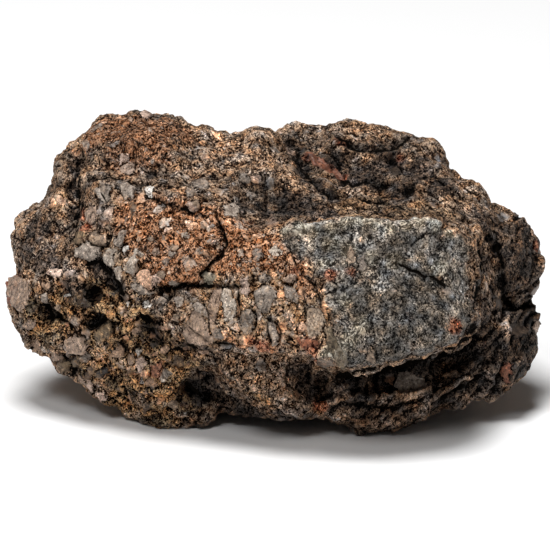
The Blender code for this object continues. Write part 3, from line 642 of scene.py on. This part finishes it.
def fine_copy(cad):
    """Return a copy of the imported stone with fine, even cells and softened facets."""
    skin = new_object(SKIN, cad.data.copy())
    skin.data.materials.clear()
    remesh = skin.modifiers.new("fine cells", "REMESH")
    remesh.mode = "VOXEL"
    remesh.voxel_size = CELL
    soften = skin.modifiers.new("soften", "SMOOTH")
    soften.factor = 0.5
    soften.iterations = FACET_SOFTENING
    apply_modifiers(skin)
    return skin


def spots_on(tree):
    """Return, for each kind of surface, the centres and radii of its spots in metres."""
    found = {}
    for kind, spots in SPOTS.items():
        hits = [(tree.ray_cast(*pixel_ray(px, py))[0], radius * MM) for px, py, radius in spots]
        found[kind] = [(place, radius) for place, radius in hits if place is not None]
    for kind, spots in HIDDEN_SPOTS.items():
        found[kind] += [(Vector(place) * MM, radius * MM) for place, radius in spots]
    return found


def zone_weights(places, balls_of):
    """Return the share, 0 to 1, of each kind of surface at each place, with ragged borders."""
    ragged = 0.35 * wander(places, 5.0) + 0.45 * wander(places, 1.9, 9.0)
    weights = {}
    left = np.ones(len(places))
    for kind in reversed(LAYERS):
        inside = np.full(len(places), -FAR)
        for centre, radius in balls_of[kind]:
            away = np.linalg.norm(places - np.array(centre), axis=1) / radius
            inside = np.maximum(inside, 1 - away)
        share = rise(inside + ragged * 0.8, -0.12, 0.28)
        weights[kind] = share * left
        left = left * (1 - share)
    weights["brown"] = left
    return weights


def blend(weights, amounts):
    """Return the mix, at each vertex, of what a table gives for each kind of surface, or 0 without it."""
    return sum(share[:, None] * np.atleast_1d(amounts.get(kind, 0.0)) for kind, share in weights.items())


def means_of_neighbours(ends, places):
    """Return the middle of each vertex's neighbours."""
    total = np.zeros_like(places)
    count = np.zeros(len(places))
    for one, other in ((0, 1), (1, 0)):
        for axis in range(3):
            total[:, axis] += np.bincount(ends[:, one], places[ends[:, other], axis], len(places))
        count += np.bincount(ends[:, one], minlength=len(places))
    return total / count[:, None]


def calm_lumps(mesh, weights):
    """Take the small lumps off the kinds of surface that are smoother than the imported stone."""
    places = read_vectors(mesh, "co")
    ends = read_edges(mesh)
    share = 0.5 * blend(weights, CALM)
    for _ in range(CALM_ROUNDS):
        places = places + share * (means_of_neighbours(ends, places) - places)
    write_places(mesh, places)


# ------------------------------------------------------------------ what pixels of the picture place

def seen_pixels(places):
    """Return the pixels at which the camera sees places."""
    right, up, back = (np.array(axis) for axis in camera_axes())
    apart = places - np.array(TARGET)
    depth = DISTANCE - apart @ back
    across = apart @ right * DISTANCE / depth / PIXEL
    above = apart @ up * DISTANCE / depth / PIXEL
    return PICTURE / 2 + across, PICTURE / 2 - above


def wavering_pixels(places, reach, span, shift_x, shift_y):
    """Return the pixels at which the camera sees places, with noise that makes outlines uneven."""
    px, py = seen_pixels(places)
    return px + reach * wander(places, span, shift_x), py + reach * wander(places, span, shift_y)


def change_at(places, tree, table):
    """Return what a table of pixels, radii in millimetres and changes adds up to at each place."""
    total = np.zeros(len(places))
    for px, py, radius, change in table:
        centre = tree.ray_cast(*pixel_ray(px, py))[0]
        if centre is not None:
            away = np.linalg.norm(places - np.array(centre), axis=1) / (radius * MM)
            total += change * (1 - rise(away, 0.5, 1.3))
    return total


def from_line(px, py, points):
    """Return the distance in pixels from each pixel to a line through some pixels."""
    away = np.full(len(px), np.inf)
    for (x0, y0), (x1, y1) in zip(points, points[1:]):
        along = np.array((x1 - x0, y1 - y0), dtype=float)
        part = np.clip(((px - x0) * along[0] + (py - y0) * along[1]) / (along @ along), 0, 1)
        away = np.minimum(away, np.hypot(px - x0 - part * along[0], py - y0 - part * along[1]))
    return away


def within(px, py, points):
    """Return whether each pixel is inside a closed outline of pixels."""
    inside = np.zeros(len(px), dtype=bool)
    for (x0, y0), (x1, y1) in zip(points, points[1:] + points[:1]):
        if y0 != y1:
            crosses = (py > min(y0, y1)) & (py <= max(y0, y1))
            inside ^= crosses & (px < x0 + (py - y0) * (x1 - x0) / (y1 - y0))
    return inside


def draw_lines(places, normals):
    """Return the depth in millimetres that cracks and folds give each vertex, and how dark they are:
    painted shade, partly their own dark colour, and below 0 a painted highlight on a ridge.

    The third result is how far each vertex is outside the nearest open crack, in millimetres.
    """
    px, py = wavering_pixels(places, 2.6, 3.0, 4.0, 14.0)
    faces_camera = rise(normals @ np.array(camera_axes()[2]), -0.1, 0.15)
    depth = np.zeros(len(places))
    shade = np.zeros(len(places))
    outside = np.full(len(places), FAR)
    for width, deep, dark, points in LINES:
        away = from_line(px, py, points) * PIXEL / MM
        inside = (1 - rise(away, 0.3 * width, 1.1 * width)) * faces_camera
        depth += deep * inside
        shade += dark * inside
        if deep > 0:
            outside = np.minimum(outside, np.where(faces_camera > 0.3, away - 0.22 * width, FAR))
    return depth, shade, outside


def chip_outline(rng, px, py, half_width, half_height):
    """Return an angular, uneven outline in pixels."""
    count = int(rng.integers(6, 10))
    turn = (np.arange(count) + rng.uniform(0.1, 0.9, count)) / count * 2 * math.pi
    reach = rng.uniform(0.72, 1.12, count)
    return [(px + half_width * r * math.cos(t), py + half_height * r * math.sin(t))
            for r, t in zip(reach, turn)]


def chips_to_set(rng):
    """Give the middle pixel, the half size in pixels, the outline and the tint of each chip."""
    for px, py, half_width, half_height, name in CHIPS:
        outline = chip_outline(rng, px, py, half_width, half_height)
        yield (px, py), max(half_width, half_height), outline, name
    for name, outline in SLABS:
        corners = np.array(outline, dtype=float)
        middle = (corners.min(axis=0) + corners.max(axis=0)) / 2
        yield tuple(middle), np.linalg.norm(corners - middle, axis=1).max(), outline, name


def finder_of(places):
    """Return a tree that finds the places near a point."""
    finder = KDTree(len(places))
    for index, place in enumerate(places.tolist()):
        finder.insert(place, index)
    finder.balance()
    return finder


def set_chips(tree, places, normals):
    """Let the listed chips into the stone.

    Return how far inside a chip each vertex is in millimetres, the tint of the nearest chip, and the
    height in millimetres that brings the vertex to the chip's flat face.
    """
    rng = np.random.default_rng(CHIP_SEED)
    finder = finder_of(places)
    px, py = wavering_pixels(places, 2.0, 1.6, 21.0, 27.0)
    inside = np.full(len(places), -FAR)
    tint = np.tile(TINTS["grey"], (len(places), 1))
    lift = np.zeros(len(places))
    for middle, half_size, outline, name in chips_to_set(rng):
        colour = np.array(TINTS[name]) * np.exp(rng.normal(0, 0.12))
        lean = rng.normal(0, 0.10, 3)
        hit = tree.ray_cast(*pixel_ray(*middle))[0]
        if hit is None:
            continue
        reach = half_size * PIXEL
        near = np.array([index for _, index, _ in finder.find_range(hit, reach * 1.6 + 2.5 * MM)])
        away = from_line(px[near], py[near], outline + outline[:1]) * PIXEL / MM
        deep = np.where(within(px[near], py[near], outline), away, -away)
        under = np.linalg.norm(places[near] - np.array(hit), axis=1) < reach
        plane = unit(normals[near][under].mean(axis=0) + lean)
        facing = np.maximum((normals[near] * plane).sum(axis=1), 0.4)
        to_plane = ((np.array(hit) - places[near]) @ plane) / facing / MM
        nearer = deep > inside[near]
        inside[near] = np.where(nearer, deep, inside[near])
        tint[near[nearer]] = colour
        lift[near[nearer]] = np.clip(to_plane[nearer], -0.9, 0.9)
    inside[normals @ np.array(camera_axes()[2]) < -0.1] = -FAR
    return inside, tint, lift


# ------------------------------------------------------------------ the skin

def facets(places, span, tilt, shift):
    """Return heights of flat, tilted pieces with steps between them, and 0 in the seams and 1 inside."""
    near, second, centres, marks = cells(places, span, shift)
    slopes = np.sin(marks * (127.1, 311.7, 74.7) + shift)
    level = np.sin(marks.sum(axis=1) * 191.3)
    across = ((places - centres) / (span * MM) * slopes).sum(axis=1)
    return tilt * across + 0.5 * level, rise(second - near, 0.0, 0.22)


def crinkles(places, span, shift):
    """Return 0 to 1: sharp, winding ridges."""
    return np.clip(1 - 5.0 * np.abs(wander(places, span, shift)), 0, 1)


def steps(levels, top, drop):
    """Return 0 to 1 for each layer: a slow rise to its top, and a short drop to the next layer."""
    return rise(levels % 1, 0.0, top) - rise(levels % 1, drop, 1.0)


def relief(places, weights):
    """Return the height in millimetres that each kind of surface gives the skin."""
    warped = places + 0.9 * MM * wander_vector(places, 2.5)
    big, big_edge = facets(warped, 7.5, 1.2, 2.0)
    mid, mid_edge = facets(warped, 3.7, 1.1, 5.0)
    small, small_edge = facets(warped, 1.9, 1.0, 8.0)
    near, second = cells(warped, 2.9, 3.0)[:2]
    pebbles = np.clip(1 - (near / 0.8) ** 2, 0, 1) * rise(second - near, -0.02, 0.3)
    slant = places[:, 2] + 0.25 * places[:, 0]
    layers = steps(slant / (1.5 * MM) + 2.5 * wander(places, 9.0, 2.0), 0.8, 0.82)
    slant = 0.8 * places[:, 2] - 0.6 * places[:, 0]
    folds = steps(slant / (3.4 * MM) + 1.6 * wander(places, 14.0, 12.0), 0.7, 0.75)
    coarse = wander(places, 4.5, 1.0)
    winding = crinkles(warped, 3.4, 6.0)

    tan, orange, agate = weights["tan"], weights["orange"], weights["agate"] + weights["pale"]
    cream, layered, dark = weights["cream"], weights["laminae"], weights["dark"]
    brown, folded = weights["brown"] + weights["rust"], weights["folded"]
    height = 0.30 * coarse * (1 - 0.4 * orange - 0.5 * agate)
    height += 0.45 * big * (1 - layered) * (1 - 0.4 * agate - 0.45 * orange - 0.5 * folded)
    height += 0.32 * mid * (0.55 * brown + agate * 0.35 + cream * 0.5 + dark * 0.7 + 0.1 * folded
                            + orange * 0.35 + tan)
    height += 0.13 * small * (1 - 0.5 * layered - 0.6 * dark) * (1 - 0.6 * folded)
    height += tan * 0.80 * (pebbles - 0.35) + brown * 0.12 * (pebbles - 0.35)
    height += layered * 0.55 * (layers - 0.5) + folded * 0.95 * (folds - 0.5)
    height += 0.35 * (winding - 0.2) * (0.3 * brown + 0.6 * dark + 0.2 * folded + 0.6 * tan
                                        + 0.5 * layered)
    height -= 0.40 * (1 - mid_edge) * (tan + 0.6 * brown + 0.8 * dark + 0.6 * cream + 0.3 * orange
                                       + 0.3 * agate)
    height -= (0.28 * (1 - big_edge) + 0.10 * (1 - small_edge)) * (1 - 0.4 * agate - 0.6 * folded)
    return height


def dress_skin(skin, tree, weights):
    """Break up the skin's surface by its kind, and store what its material needs."""
    mesh = skin.data
    places = read_vectors(mesh, "co")
    normals = read_vectors(mesh, "normal")
    height = relief(places, weights)
    inside, chip_tint, lift = set_chips(tree, places, normals)
    flush = rise(inside, -0.15, 0.25)
    height = height * (1 - flush) + (lift + 0.12) * flush
    line_depth, shade, outside = draw_lines(places, normals)
    height += change_at(places, tree, BULGES) - line_depth
    write_places(mesh, places + normals * (height * MM)[:, None])
    store_colours_and_painted_light(mesh, tree, weights, shade)
    write_value(mesh, "chip_inside", inside)
    write_colour(mesh, "chip_tint", chip_tint)
    write_value(mesh, "crack_outside", outside)


def thin_flat_parts(skin):
    """Thin the skin where it is flat, and keep its small facets and cracks."""
    thin = skin.modifiers.new("thin flat parts", "DECIMATE")
    thin.ratio = TRIANGLES / triangle_count(skin.data)
    apply_modifiers(skin)
    skin.data.shade_smooth()


def standing_out(mesh, places):
    """Return how far each vertex stands out of its neighbours, in millimetres. Hollows are below 0."""
    ends = read_edges(mesh)
    wide = places
    for _ in range(BULGE_REACH):
        wide = means_of_neighbours(ends, wide)
    return ((places - wide) * read_vectors(mesh, "normal")).sum(axis=1) / MM


def toned_down(colours):
    """Return the colours with none brighter than stone is, and their hues unchanged."""
    return colours * np.minimum(1, BRIGHTEST / np.maximum(colours.max(axis=1), 1e-6))[:, None]


def store_colours_and_painted_light(mesh, tree, weights, shade):
    """Store the skin's colours, with painted shade and highlights, and where it stands out or is glossy,
    mottled or full of clasts.
    """
    places = read_vectors(mesh, "co")
    uneven = blend(weights, UNEVEN)
    hue = uneven[:, 0] * (0.30 * wander(places, 3.5, 31.0) + 0.25 * wander(places, 1.6, 37.0))
    bright = uneven[:, 1] * (0.8 * wander(places, 6.5, 41.0) + 0.6 * wander(places, 2.4, 43.0)
                             + 0.5 * wander(places, 4.0, 45.0)) + change_at(places, tree, TONES)
    change = np.exp(np.stack([bright + hue, bright + 0.1 * hue - 0.035, bright - hue], axis=1))
    # Painted light from the lines: ridges made lighter as a painted highlight, cracks and creases darker,
    # partly as their own dark colour and partly as painted shade
    change *= np.exp(0.9 * np.clip(-shade, 0, 1))[:, None]
    change *= (1 - 0.75 * np.clip(shade, 0, 1))[:, None]
    for tone, name in enumerate(("gap_and_shade_colour", "middle_colour", "grain_colour")):
        plain = blend(weights, {kind: colours[tone] for kind, colours in PALETTE.items()})
        write_colour(mesh, name, toned_down(plain * change))
    write_colour(mesh, "clast_colour", toned_down(blend(weights, CLAST_TINTS) * change))
    for name, table in (("clasts", CLASTS), ("gloss", GLOSS), ("mottle", MOTTLE)):
        write_value(mesh, name, blend(weights, table)[:, 0])
    write_value(mesh, "stands_out", standing_out(mesh, places))


# ------------------------------------------------------------------ material

class Nodes:
    """Short ways to add shader nodes to a material."""

    def __init__(self, name):
        self.material = bpy.data.materials.new(name)
        self.material.use_nodes = True
        self.tree = self.material.node_tree
        self.shader = self.tree.nodes["Principled BSDF"]

    def add(self, kind, settings=None, **inputs):
        """Add a node, set its properties, and link or set its inputs."""
        node = self.tree.nodes.new(kind)
        for name, value in (settings or {}).items():
            setattr(node, name, value)
        for name, value in inputs.items():
            self.feed(node.inputs[name.replace("_", " ")], value)
        return node

    def feed(self, socket, value):
        """Link an output to an input, or set the input to a plain value."""
        if isinstance(value, bpy.types.NodeSocket):
            self.tree.links.new(value, socket)
        else:
            socket.default_value = value

    def attribute(self, name, output="Fac"):
        """Return an output of a stored attribute."""
        return self.add("ShaderNodeAttribute", {"attribute_name": name}).outputs[output]

    def noise(self, spot, scale, detail, roughness, distortion=0.0):
        """Return smooth noise, about 0.2 to 0.8. The scale is in waves for each metre."""
        return self.add("ShaderNodeTexNoise", Vector=spot, Scale=scale, Detail=detail, Roughness=roughness,
                        Distortion=distortion).outputs[0]

    def math(self, operation, *values):
        """Return what a math operation makes of one, two or three values."""
        node = self.add("ShaderNodeMath", {"operation": operation})
        for socket, value in zip(node.inputs, values):
            self.feed(socket, value)
        return node.outputs[0]

    def times(self, first, second):
        """Return the product of two values."""
        return self.math("MULTIPLY", first, second)

    def more(self, value, gain, base):
        """Return value times gain, plus base."""
        return self.math("MULTIPLY_ADD", value, gain, base)

    def smooth(self, value, low, high):
        """Return 0 at low, 1 at high and a smooth rise between them."""
        node = self.add("ShaderNodeMapRange", {"interpolation_type": "SMOOTHSTEP"},
                        Value=value, From_Min=low, From_Max=high)
        return node.outputs["Result"]

    def mix(self, share, first, second, blend_type="MIX"):
        """Return a mix of two colours."""
        node = self.add("ShaderNodeMix", {"data_type": "RGBA", "blend_type": blend_type})
        for index, value in ((0, share), (6, first), (7, second)):
            self.feed(node.inputs[index], value)
        return node.outputs[2]

    def tint(self, share, colour, tint):
        """Return a colour that is multiplied by a tint where the share is 1, and stays as it is at 0."""
        return self.mix(share, colour, self.mix(1.0, colour, (*tint, 1), "MULTIPLY"))

    def vector(self, operation, first, second):
        """Return what an operation makes of two vectors, or of a vector and a scale."""
        node = self.add("ShaderNodeVectorMath", {"operation": operation})
        self.feed(node.inputs[0], first)
        self.feed(node.inputs["Scale" if operation == "SCALE" else 1], second)
        return node.outputs["Value" if operation == "DOT_PRODUCT" else 0]

    def warp(self, spot, reach, scale):
        """Return places bent by noise, so that pieces get ragged borders."""
        bend = self.add("ShaderNodeTexNoise", Vector=spot, Scale=scale, Detail=2.0)
        off = self.vector("SUBTRACT", bend.outputs["Color"], (0.5, 0.5, 0.5))
        return self.vector("ADD", spot, self.vector("SCALE", off, reach))


class Broken:
    """A pattern of angular pieces: a random colour and a flat, tilted face for each, and their borders."""

    def __init__(self, nodes, spot, scale):
        piece = nodes.add("ShaderNodeTexVoronoi", {"feature": "F1"}, Vector=spot, Scale=scale)
        marks = nodes.add("ShaderNodeSeparateColor", Color=piece.outputs["Color"])
        self.red, self.green, self.blue = marks.outputs[:3]
        apart = nodes.vector("SUBTRACT", spot, piece.outputs["Position"])
        slope = nodes.vector("SUBTRACT", piece.outputs["Color"], (0.5, 0.5, 0.5))
        self.face = nodes.vector("DOT_PRODUCT", apart, slope)
        edge = nodes.add("ShaderNodeTexVoronoi", {"feature": "DISTANCE_TO_EDGE"}, Vector=spot, Scale=scale)
        self.border = edge.outputs["Distance"]


class Patterns:
    """The patterns that the skin's colours, gloss and relief share.

    A warp has its reach in metres, and every scale is in pieces or waves for each metre.
    """

    def __init__(self, nodes):
        spot = nodes.add("ShaderNodeTexCoord").outputs["Object"]
        self.mottle = nodes.attribute("mottle")
        self.bent = nodes.warp(nodes.warp(spot, 0.0016, 420.0), 0.0007, 1500.0)
        self.large = Broken(nodes, self.bent, LARGE)
        # Flakes are long pieces, which lie along a flow that turns slowly over the stone
        flow = nodes.warp(spot, nodes.more(self.mottle, -0.0040, 0.0055), 120.0)
        flow = nodes.add("ShaderNodeMapping", Vector=flow, Rotation=FLOW_TURN, Scale=FLOW_STRETCH)
        flow = nodes.warp(nodes.warp(flow.outputs[0], 0.0006, 450.0), 0.0004, 1900.0)
        self.middle = Broken(nodes, flow, MIDDLE)
        self.small = Broken(nodes, flow, SMALL)
        self.clumps = nodes.noise(flow, 760.0, 2.0, 0.8, 0.15)
        drawn = nodes.vector("MULTIPLY", self.bent, STREAK_STRETCH)
        self.streaks = nodes.noise(drawn, 600.0, 3.0, 0.75)
        self.cloud = nodes.noise(spot, 700.0, 3.0, 0.75, 1.0)
        self.ragged = nodes.more(self.clumps, 1.0, -0.5)
        # How far inside a listed chip a place is, in millimetres, with a ragged outline
        self.inside = nodes.more(self.ragged, 2.4, nodes.more(nodes.attribute("chip_inside"), 1.0, 0.12))
        self.value = self.speck_value(nodes)
        self.cracks = self.crack_share(nodes)

    def speck_value(self, nodes):
        """Return how bright each speck is, from the dark gaps at 0 to the bright grains at 1.

        The dark gaps are partly the dark rock between grains and partly painted shade there. Crests get a
        painted highlight and hollows painted shade.
        """
        pieces = nodes.more(self.small.red, 0.70, nodes.more(self.middle.red, 0.20, -0.45))
        grainy = nodes.more(self.clumps, 1.0, nodes.more(pieces, 1.0, 0.04))
        smeared = nodes.more(self.clumps, 0.45, nodes.more(pieces, 0.62, 0.01))
        smeared = nodes.more(self.streaks, 0.55, smeared)
        value = nodes.times(grainy, nodes.more(self.mottle, -1.0, 1.0))
        value = nodes.more(smeared, self.mottle, value)
        # Painted light: what stands out is made lighter, a painted highlight, and hollows darker, painted
        # shade
        stands_out = nodes.attribute("stands_out")
        value = nodes.more(nodes.smooth(stands_out, 0.02, 0.20), 0.16, value)
        return nodes.more(nodes.smooth(stands_out, -0.02, -0.22), -0.24, value)

    def crack_share(self, nodes):
        """Return 1 in fine cracks, which follow pieces' borders or wind, and open and close."""
        open_here = nodes.smooth(self.clumps, 0.60, 0.40)

        def line(away, width, least, edge=0.4):
            return nodes.smooth(nodes.math("DIVIDE", away, nodes.more(open_here, width, least)), 1.0, edge)

        cracks = nodes.math("MAXIMUM", line(self.large.border, 0.045, 0.004),
                           nodes.times(line(self.middle.border, 0.05, 0.003), 0.6))
        for scale, width in WINDING_CRACKS:
            winding = nodes.noise(self.bent, scale, 2.0, 0.65)
            away = nodes.math("ABSOLUTE", nodes.more(winding, 1.0, -0.5))
            cracks = nodes.math("MAXIMUM", cracks, line(away, width, 0.001, 0.35))
        return nodes.times(cracks, nodes.more(self.mottle, -0.35, 1.0))


def matrix_colour(nodes, patterns):
    """Return the colour of the rock between the clasts: dark gaps, partly painted shade, a middle tone and
    bright grains.
    """
    gap = nodes.attribute("gap_and_shade_colour", "Color")
    middle = nodes.attribute("middle_colour", "Color")
    grain = nodes.attribute("grain_colour", "Color")
    colour = nodes.mix(nodes.smooth(patterns.value, 0.36, 0.48), gap, middle)
    colour = nodes.mix(nodes.smooth(patterns.value, 0.54, 0.68), colour, grain)
    return nodes.mix(patterns.cracks, colour, gap)


def clast_shares(nodes, patterns):
    """Return 1 inside larger and smaller clasts: some of the pieces are smooth and cloudy."""
    large, middle = patterns.large, patterns.middle
    clasts = nodes.attribute("clasts")
    larger = nodes.times(nodes.math("LESS_THAN", large.blue, clasts),
                         nodes.smooth(nodes.more(patterns.ragged, 0.45, large.border), 0.045, 0.075))
    smaller = nodes.times(nodes.math("LESS_THAN", middle.blue, nodes.times(clasts, 0.7)),
                          nodes.smooth(nodes.more(patterns.ragged, 0.6, middle.border), 0.07, 0.11))
    return larger, smaller


def clast_colour(nodes, patterns, larger, chip):
    """Return the colour of clasts and chips: their own, with clouds, stains and cracks."""
    kind = nodes.mix(larger, patterns.small.green, patterns.large.green)
    colour = nodes.attribute("clast_colour", "Color")
    for low, high, tint in CLAST_VARIANTS:
        colour = nodes.tint(nodes.smooth(kind, low, high), colour, tint)
    colour = nodes.mix(chip, colour, nodes.attribute("chip_tint", "Color"))
    cloudy = nodes.more(patterns.middle.red, 0.22, nodes.more(patterns.cloud, 1.0, -0.11))
    clearer = nodes.more(chip, -0.25, 1.0)
    for low, high, tint in CLOUDS:
        colour = nodes.tint(nodes.times(nodes.smooth(cloudy, low, high), clearer), colour, tint)
    stain = nodes.smooth(nodes.more(patterns.ragged, 0.5, patterns.streaks), 0.50, 0.66)
    stained = nodes.mix(0.55, colour, nodes.attribute("grain_colour", "Color"))
    colour = nodes.mix(nodes.times(stain, nodes.more(chip, -0.2, 0.75)), colour, stained)
    return nodes.tint(nodes.times(patterns.cracks, nodes.more(chip, -0.1, 0.7)), colour, CRACKED_TINT)


def skin_relief(nodes, patterns, clast, dents):
    """Return the fine relief in metres: tilted pieces, specks and cracks, and flatter clasts."""
    relief = nodes.more(patterns.large.face, 0.8, nodes.times(patterns.middle.face, 0.9))
    for pattern, gain in ((patterns.small.face, 1.2), (patterns.small.green, 0.00012),
                          (patterns.value, 0.00025), (patterns.cracks, -0.00022)):
        relief = nodes.more(pattern, gain, relief)
    relief = nodes.times(relief, nodes.more(clast, -0.75, 1.0))
    relief = nodes.times(relief, nodes.more(patterns.mottle, -0.45, 1.0))
    raised = nodes.times(clast, nodes.smooth(patterns.inside, 0.0, 0.35))
    for pattern, gain in ((raised, 0.00012), (patterns.cloud, 0.00010), (dents, -0.00030)):
        relief = nodes.more(pattern, gain, relief)
    return relief


def skin_material():
    """Return the skin's material: broken, clumped grains with dark cracks between smooth agate clasts."""
    nodes = Nodes("broken stone")
    patterns = Patterns(nodes)
    inside, small = patterns.inside, patterns.small
    chip = nodes.smooth(inside, 0.0, 0.10)
    larger, smaller = clast_shares(nodes, patterns)
    clast = nodes.times(nodes.math("MAXIMUM", larger, smaller), nodes.smooth(inside, -0.1, -0.4))
    clast = nodes.math("MAXIMUM", clast, chip)
    rind = nodes.times(nodes.smooth(inside, -0.30, -0.12), nodes.smooth(inside, 0.05, -0.04))
    rind = nodes.times(rind, nodes.smooth(patterns.clumps, 0.62, 0.42))
    crack = nodes.smooth(nodes.attribute("crack_outside"), 0.10, -0.05)

    colour = nodes.mix(clast, matrix_colour(nodes, patterns), clast_colour(nodes, patterns, larger, chip))
    # Painted glints: tiny specks made much brighter in colour, a painted highlight
    painted_glint = nodes.smooth(nodes.more(patterns.mottle, 0.04, small.green), 0.90, 0.93)
    colour = nodes.tint(painted_glint, colour, PAINTED_GLINT_TINT)
    # Painted shade: tiny pits darkened in colour only, with no hollow in the relief
    pit_shade = nodes.smooth(nodes.more(clast, -0.08, small.blue), 0.82, 0.86)
    colour = nodes.tint(pit_shade, colour, PIT_SHADE_TINT)
    # A dark rim round the chips: partly the dark rock at their edges, partly painted shade in the groove
    # round them
    colour = nodes.mix(nodes.times(rind, 0.8), colour, nodes.attribute("gap_and_shade_colour", "Color"))
    # Open cracks made near black: partly dark fill, partly painted shade
    colour = nodes.mix(crack, colour, CRACK_FILL_AND_SHADE_COLOUR)

    dull = nodes.more(small.blue, -0.35, 0.85)
    waxy = nodes.more(patterns.cloud, 0.5, 0.18)
    polish = nodes.math("MAXIMUM", clast, nodes.times(nodes.attribute("gloss"), 0.5))
    rough = nodes.more(waxy, polish, nodes.times(dull, nodes.more(polish, -1.0, 1.0)))
    shine = nodes.math("MAXIMUM", nodes.smooth(patterns.value, 0.34, 0.62), clast)
    shine = nodes.times(shine, nodes.more(crack, -1.0, 1.0))
    relief = skin_relief(nodes, patterns, clast, nodes.math("MAXIMUM", rind, crack))
    bump = nodes.add("ShaderNodeBump", Strength=1.0, Distance=1.0, Height=relief)
    for name, value in (("Base Color", colour), ("Roughness", rough),
                        ("Specular IOR Level", nodes.more(shine, 0.33, 0.02)),
                        ("Normal", bump.outputs["Normal"])):
        nodes.feed(nodes.shader.inputs[name], value)
    return nodes.material


# ------------------------------------------------------------------ put together

def make_skin():
    """Return the finished skin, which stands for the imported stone."""
    skin = fine_copy(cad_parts[NODE])
    weights = zone_weights(read_vectors(skin.data, "co"), spots_on(tree_of(skin)))
    calm_lumps(skin.data, weights)
    dress_skin(skin, tree_of(skin), weights)
    thin_flat_parts(skin)
    skin.data.materials.append(skin_material())
    return skin


make_camera()
make_floor()
make_light()
noise.seed_set(NOISE_SEED)
stone_skin = make_skin()
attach(stone_skin, BODY)
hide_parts(NODE)
print("skin triangles", triangle_count(stone_skin.data))
